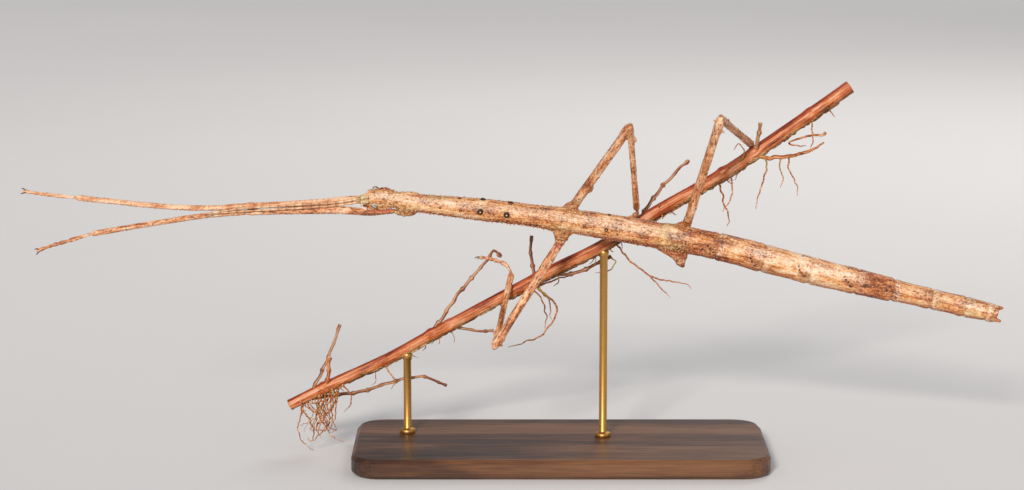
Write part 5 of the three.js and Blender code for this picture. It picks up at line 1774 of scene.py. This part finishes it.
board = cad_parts["stand_base"]
for face_slot in board.material_slots:
    face_slot.material = walnut()
soft_edge = board.modifiers.new("soft edge", "BEVEL")
soft_edge.width = 0.35 * MM
soft_edge.segments = 3
BASE_TOP = 4.0
RODS = {"stand_rod_left": (-31.3, 5.5, 20.9), "stand_rod_right": (8.8, 2.2, 42.9)}
rod_brass = brass()
for name, (x, y, top) in RODS.items():
    rows = [(0.0, 1.5), (0.80, 1.5), (0.80, BASE_TOP), (1.5, BASE_TOP), (1.62, BASE_TOP + 0.12),
            (1.62, BASE_TOP + 0.75),
            (1.5, BASE_TOP + 0.9), (0.95, BASE_TOP + 1.0), (0.8, BASE_TOP + 1.25), (0.8, top - 1.6),
            (0.98, top - 1.3),
            (1.05, top - 0.5), (0.98, top - 0.15), (0.82, top - 0.02), (0.0, top - 0.25)]
    angle = np.arange(40) / 40 * 2 * np.pi
    rings = np.array([np.column_stack([x + max(r, 0.02) * np.cos(angle), y + max(r, 0.02) * np.sin(angle),
                                       np.full(40, z)]) for r, z in rows])
    points, faces = loft(rings)
    rod = put(name + "_turned", points, faces)
    for face in rod.data.polygons:
        face.use_smooth = abs(face.normal.z) < 0.6
    rod.data.materials.append(rod_brass)
    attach(rod, "root")
    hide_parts(name)
print("stand done")

# %% [markdown]
# ## Floor and light
#
# The stage is plain: one pale floor, a soft key light from the left above the camera,
# a weak fill from the right, a small rim light from behind, and an even pale sky.
# The key is far away and 11 degrees wide, so the floor stays even and shadows have a soft edge.
# It shines nearly along the view, so that the rounded body is brightest along its middle.

# %% Floor and light
def stage_floor():
    """Matt painted board."""
    made, tree = empty_material("floor, matt pale paint")
    place = add(tree, "TexCoord", out=3)
    mottle = add(tree, "TexNoise", {"Vector": place, "Scale": 3.0, "Detail": 4.0})
    colour = add(tree, "ValToRGB", {0: mottle}, stops=[(0.3, "#e3e3e4"), (0.7, "#e7e7e8")])
    shader = add(tree, "BsdfPrincipled", {
        "Base Color": colour, "Roughness": 0.95, "IOR": 1.3, "Specular IOR Level": 0.1})
    add(tree, "OutputMaterial", {"Surface": shader})
    return made


HALF_FLOOR = 15000
corners = [(x * HALF_FLOOR, y * HALF_FLOOR, 0) for x, y in ((-1, -1), (1, -1), (1, 1), (-1, 1))]
floor = put("floor", corners, [[0, 1, 2, 3]])
floor.data.materials.append(stage_floor())

KEY_SPREAD, KEY_STRENGTH = math.radians(11), 2.8
key = bpy.data.lights.new("key", "SUN")
key.angle = KEY_SPREAD
key.energy = KEY_STRENGTH
key.color = linear("#fff7ef")[:3]
# Name, lamp, where it stands in mm.
LAMPS = [("key", key, (-190, -640, 350))]
# Softer lamps near by: place in mm, size in mm, watts, colour.
for name, place, size, watts, colour in (("fill", (620, -420, 260), 600, 0.5, "#f2f5ff"),
                                         ("rim", (250, 520, 480), 320, 1.2, "#fffaf2")):
    lamp = bpy.data.lights.new(name, "AREA")
    lamp.size = size * MM
    lamp.energy = watts
    lamp.color = linear(colour)[:3]
    LAMPS.append((name, lamp, place))
AIM = Vector((-5, 0, 45))
for name, lamp, place in LAMPS:
    light = bpy.data.objects.new(name, lamp)
    light.location = Vector(place) * MM
    light.rotation_euler = (AIM - Vector(place)).to_track_quat("-Z", "Y").to_euler()
    scene.collection.objects.link(light)
sky = bpy.data.worlds.new("sky")
sky.use_nodes = True
sky.node_tree.nodes["Background"].inputs["Color"].default_value = linear("#eceef2")
sky.node_tree.nodes["Background"].inputs["Strength"].default_value = 0.36
scene.world = sky
scene.view_settings.view_transform = "Standard"
print("lamps:", [name for name, _, _ in LAMPS])
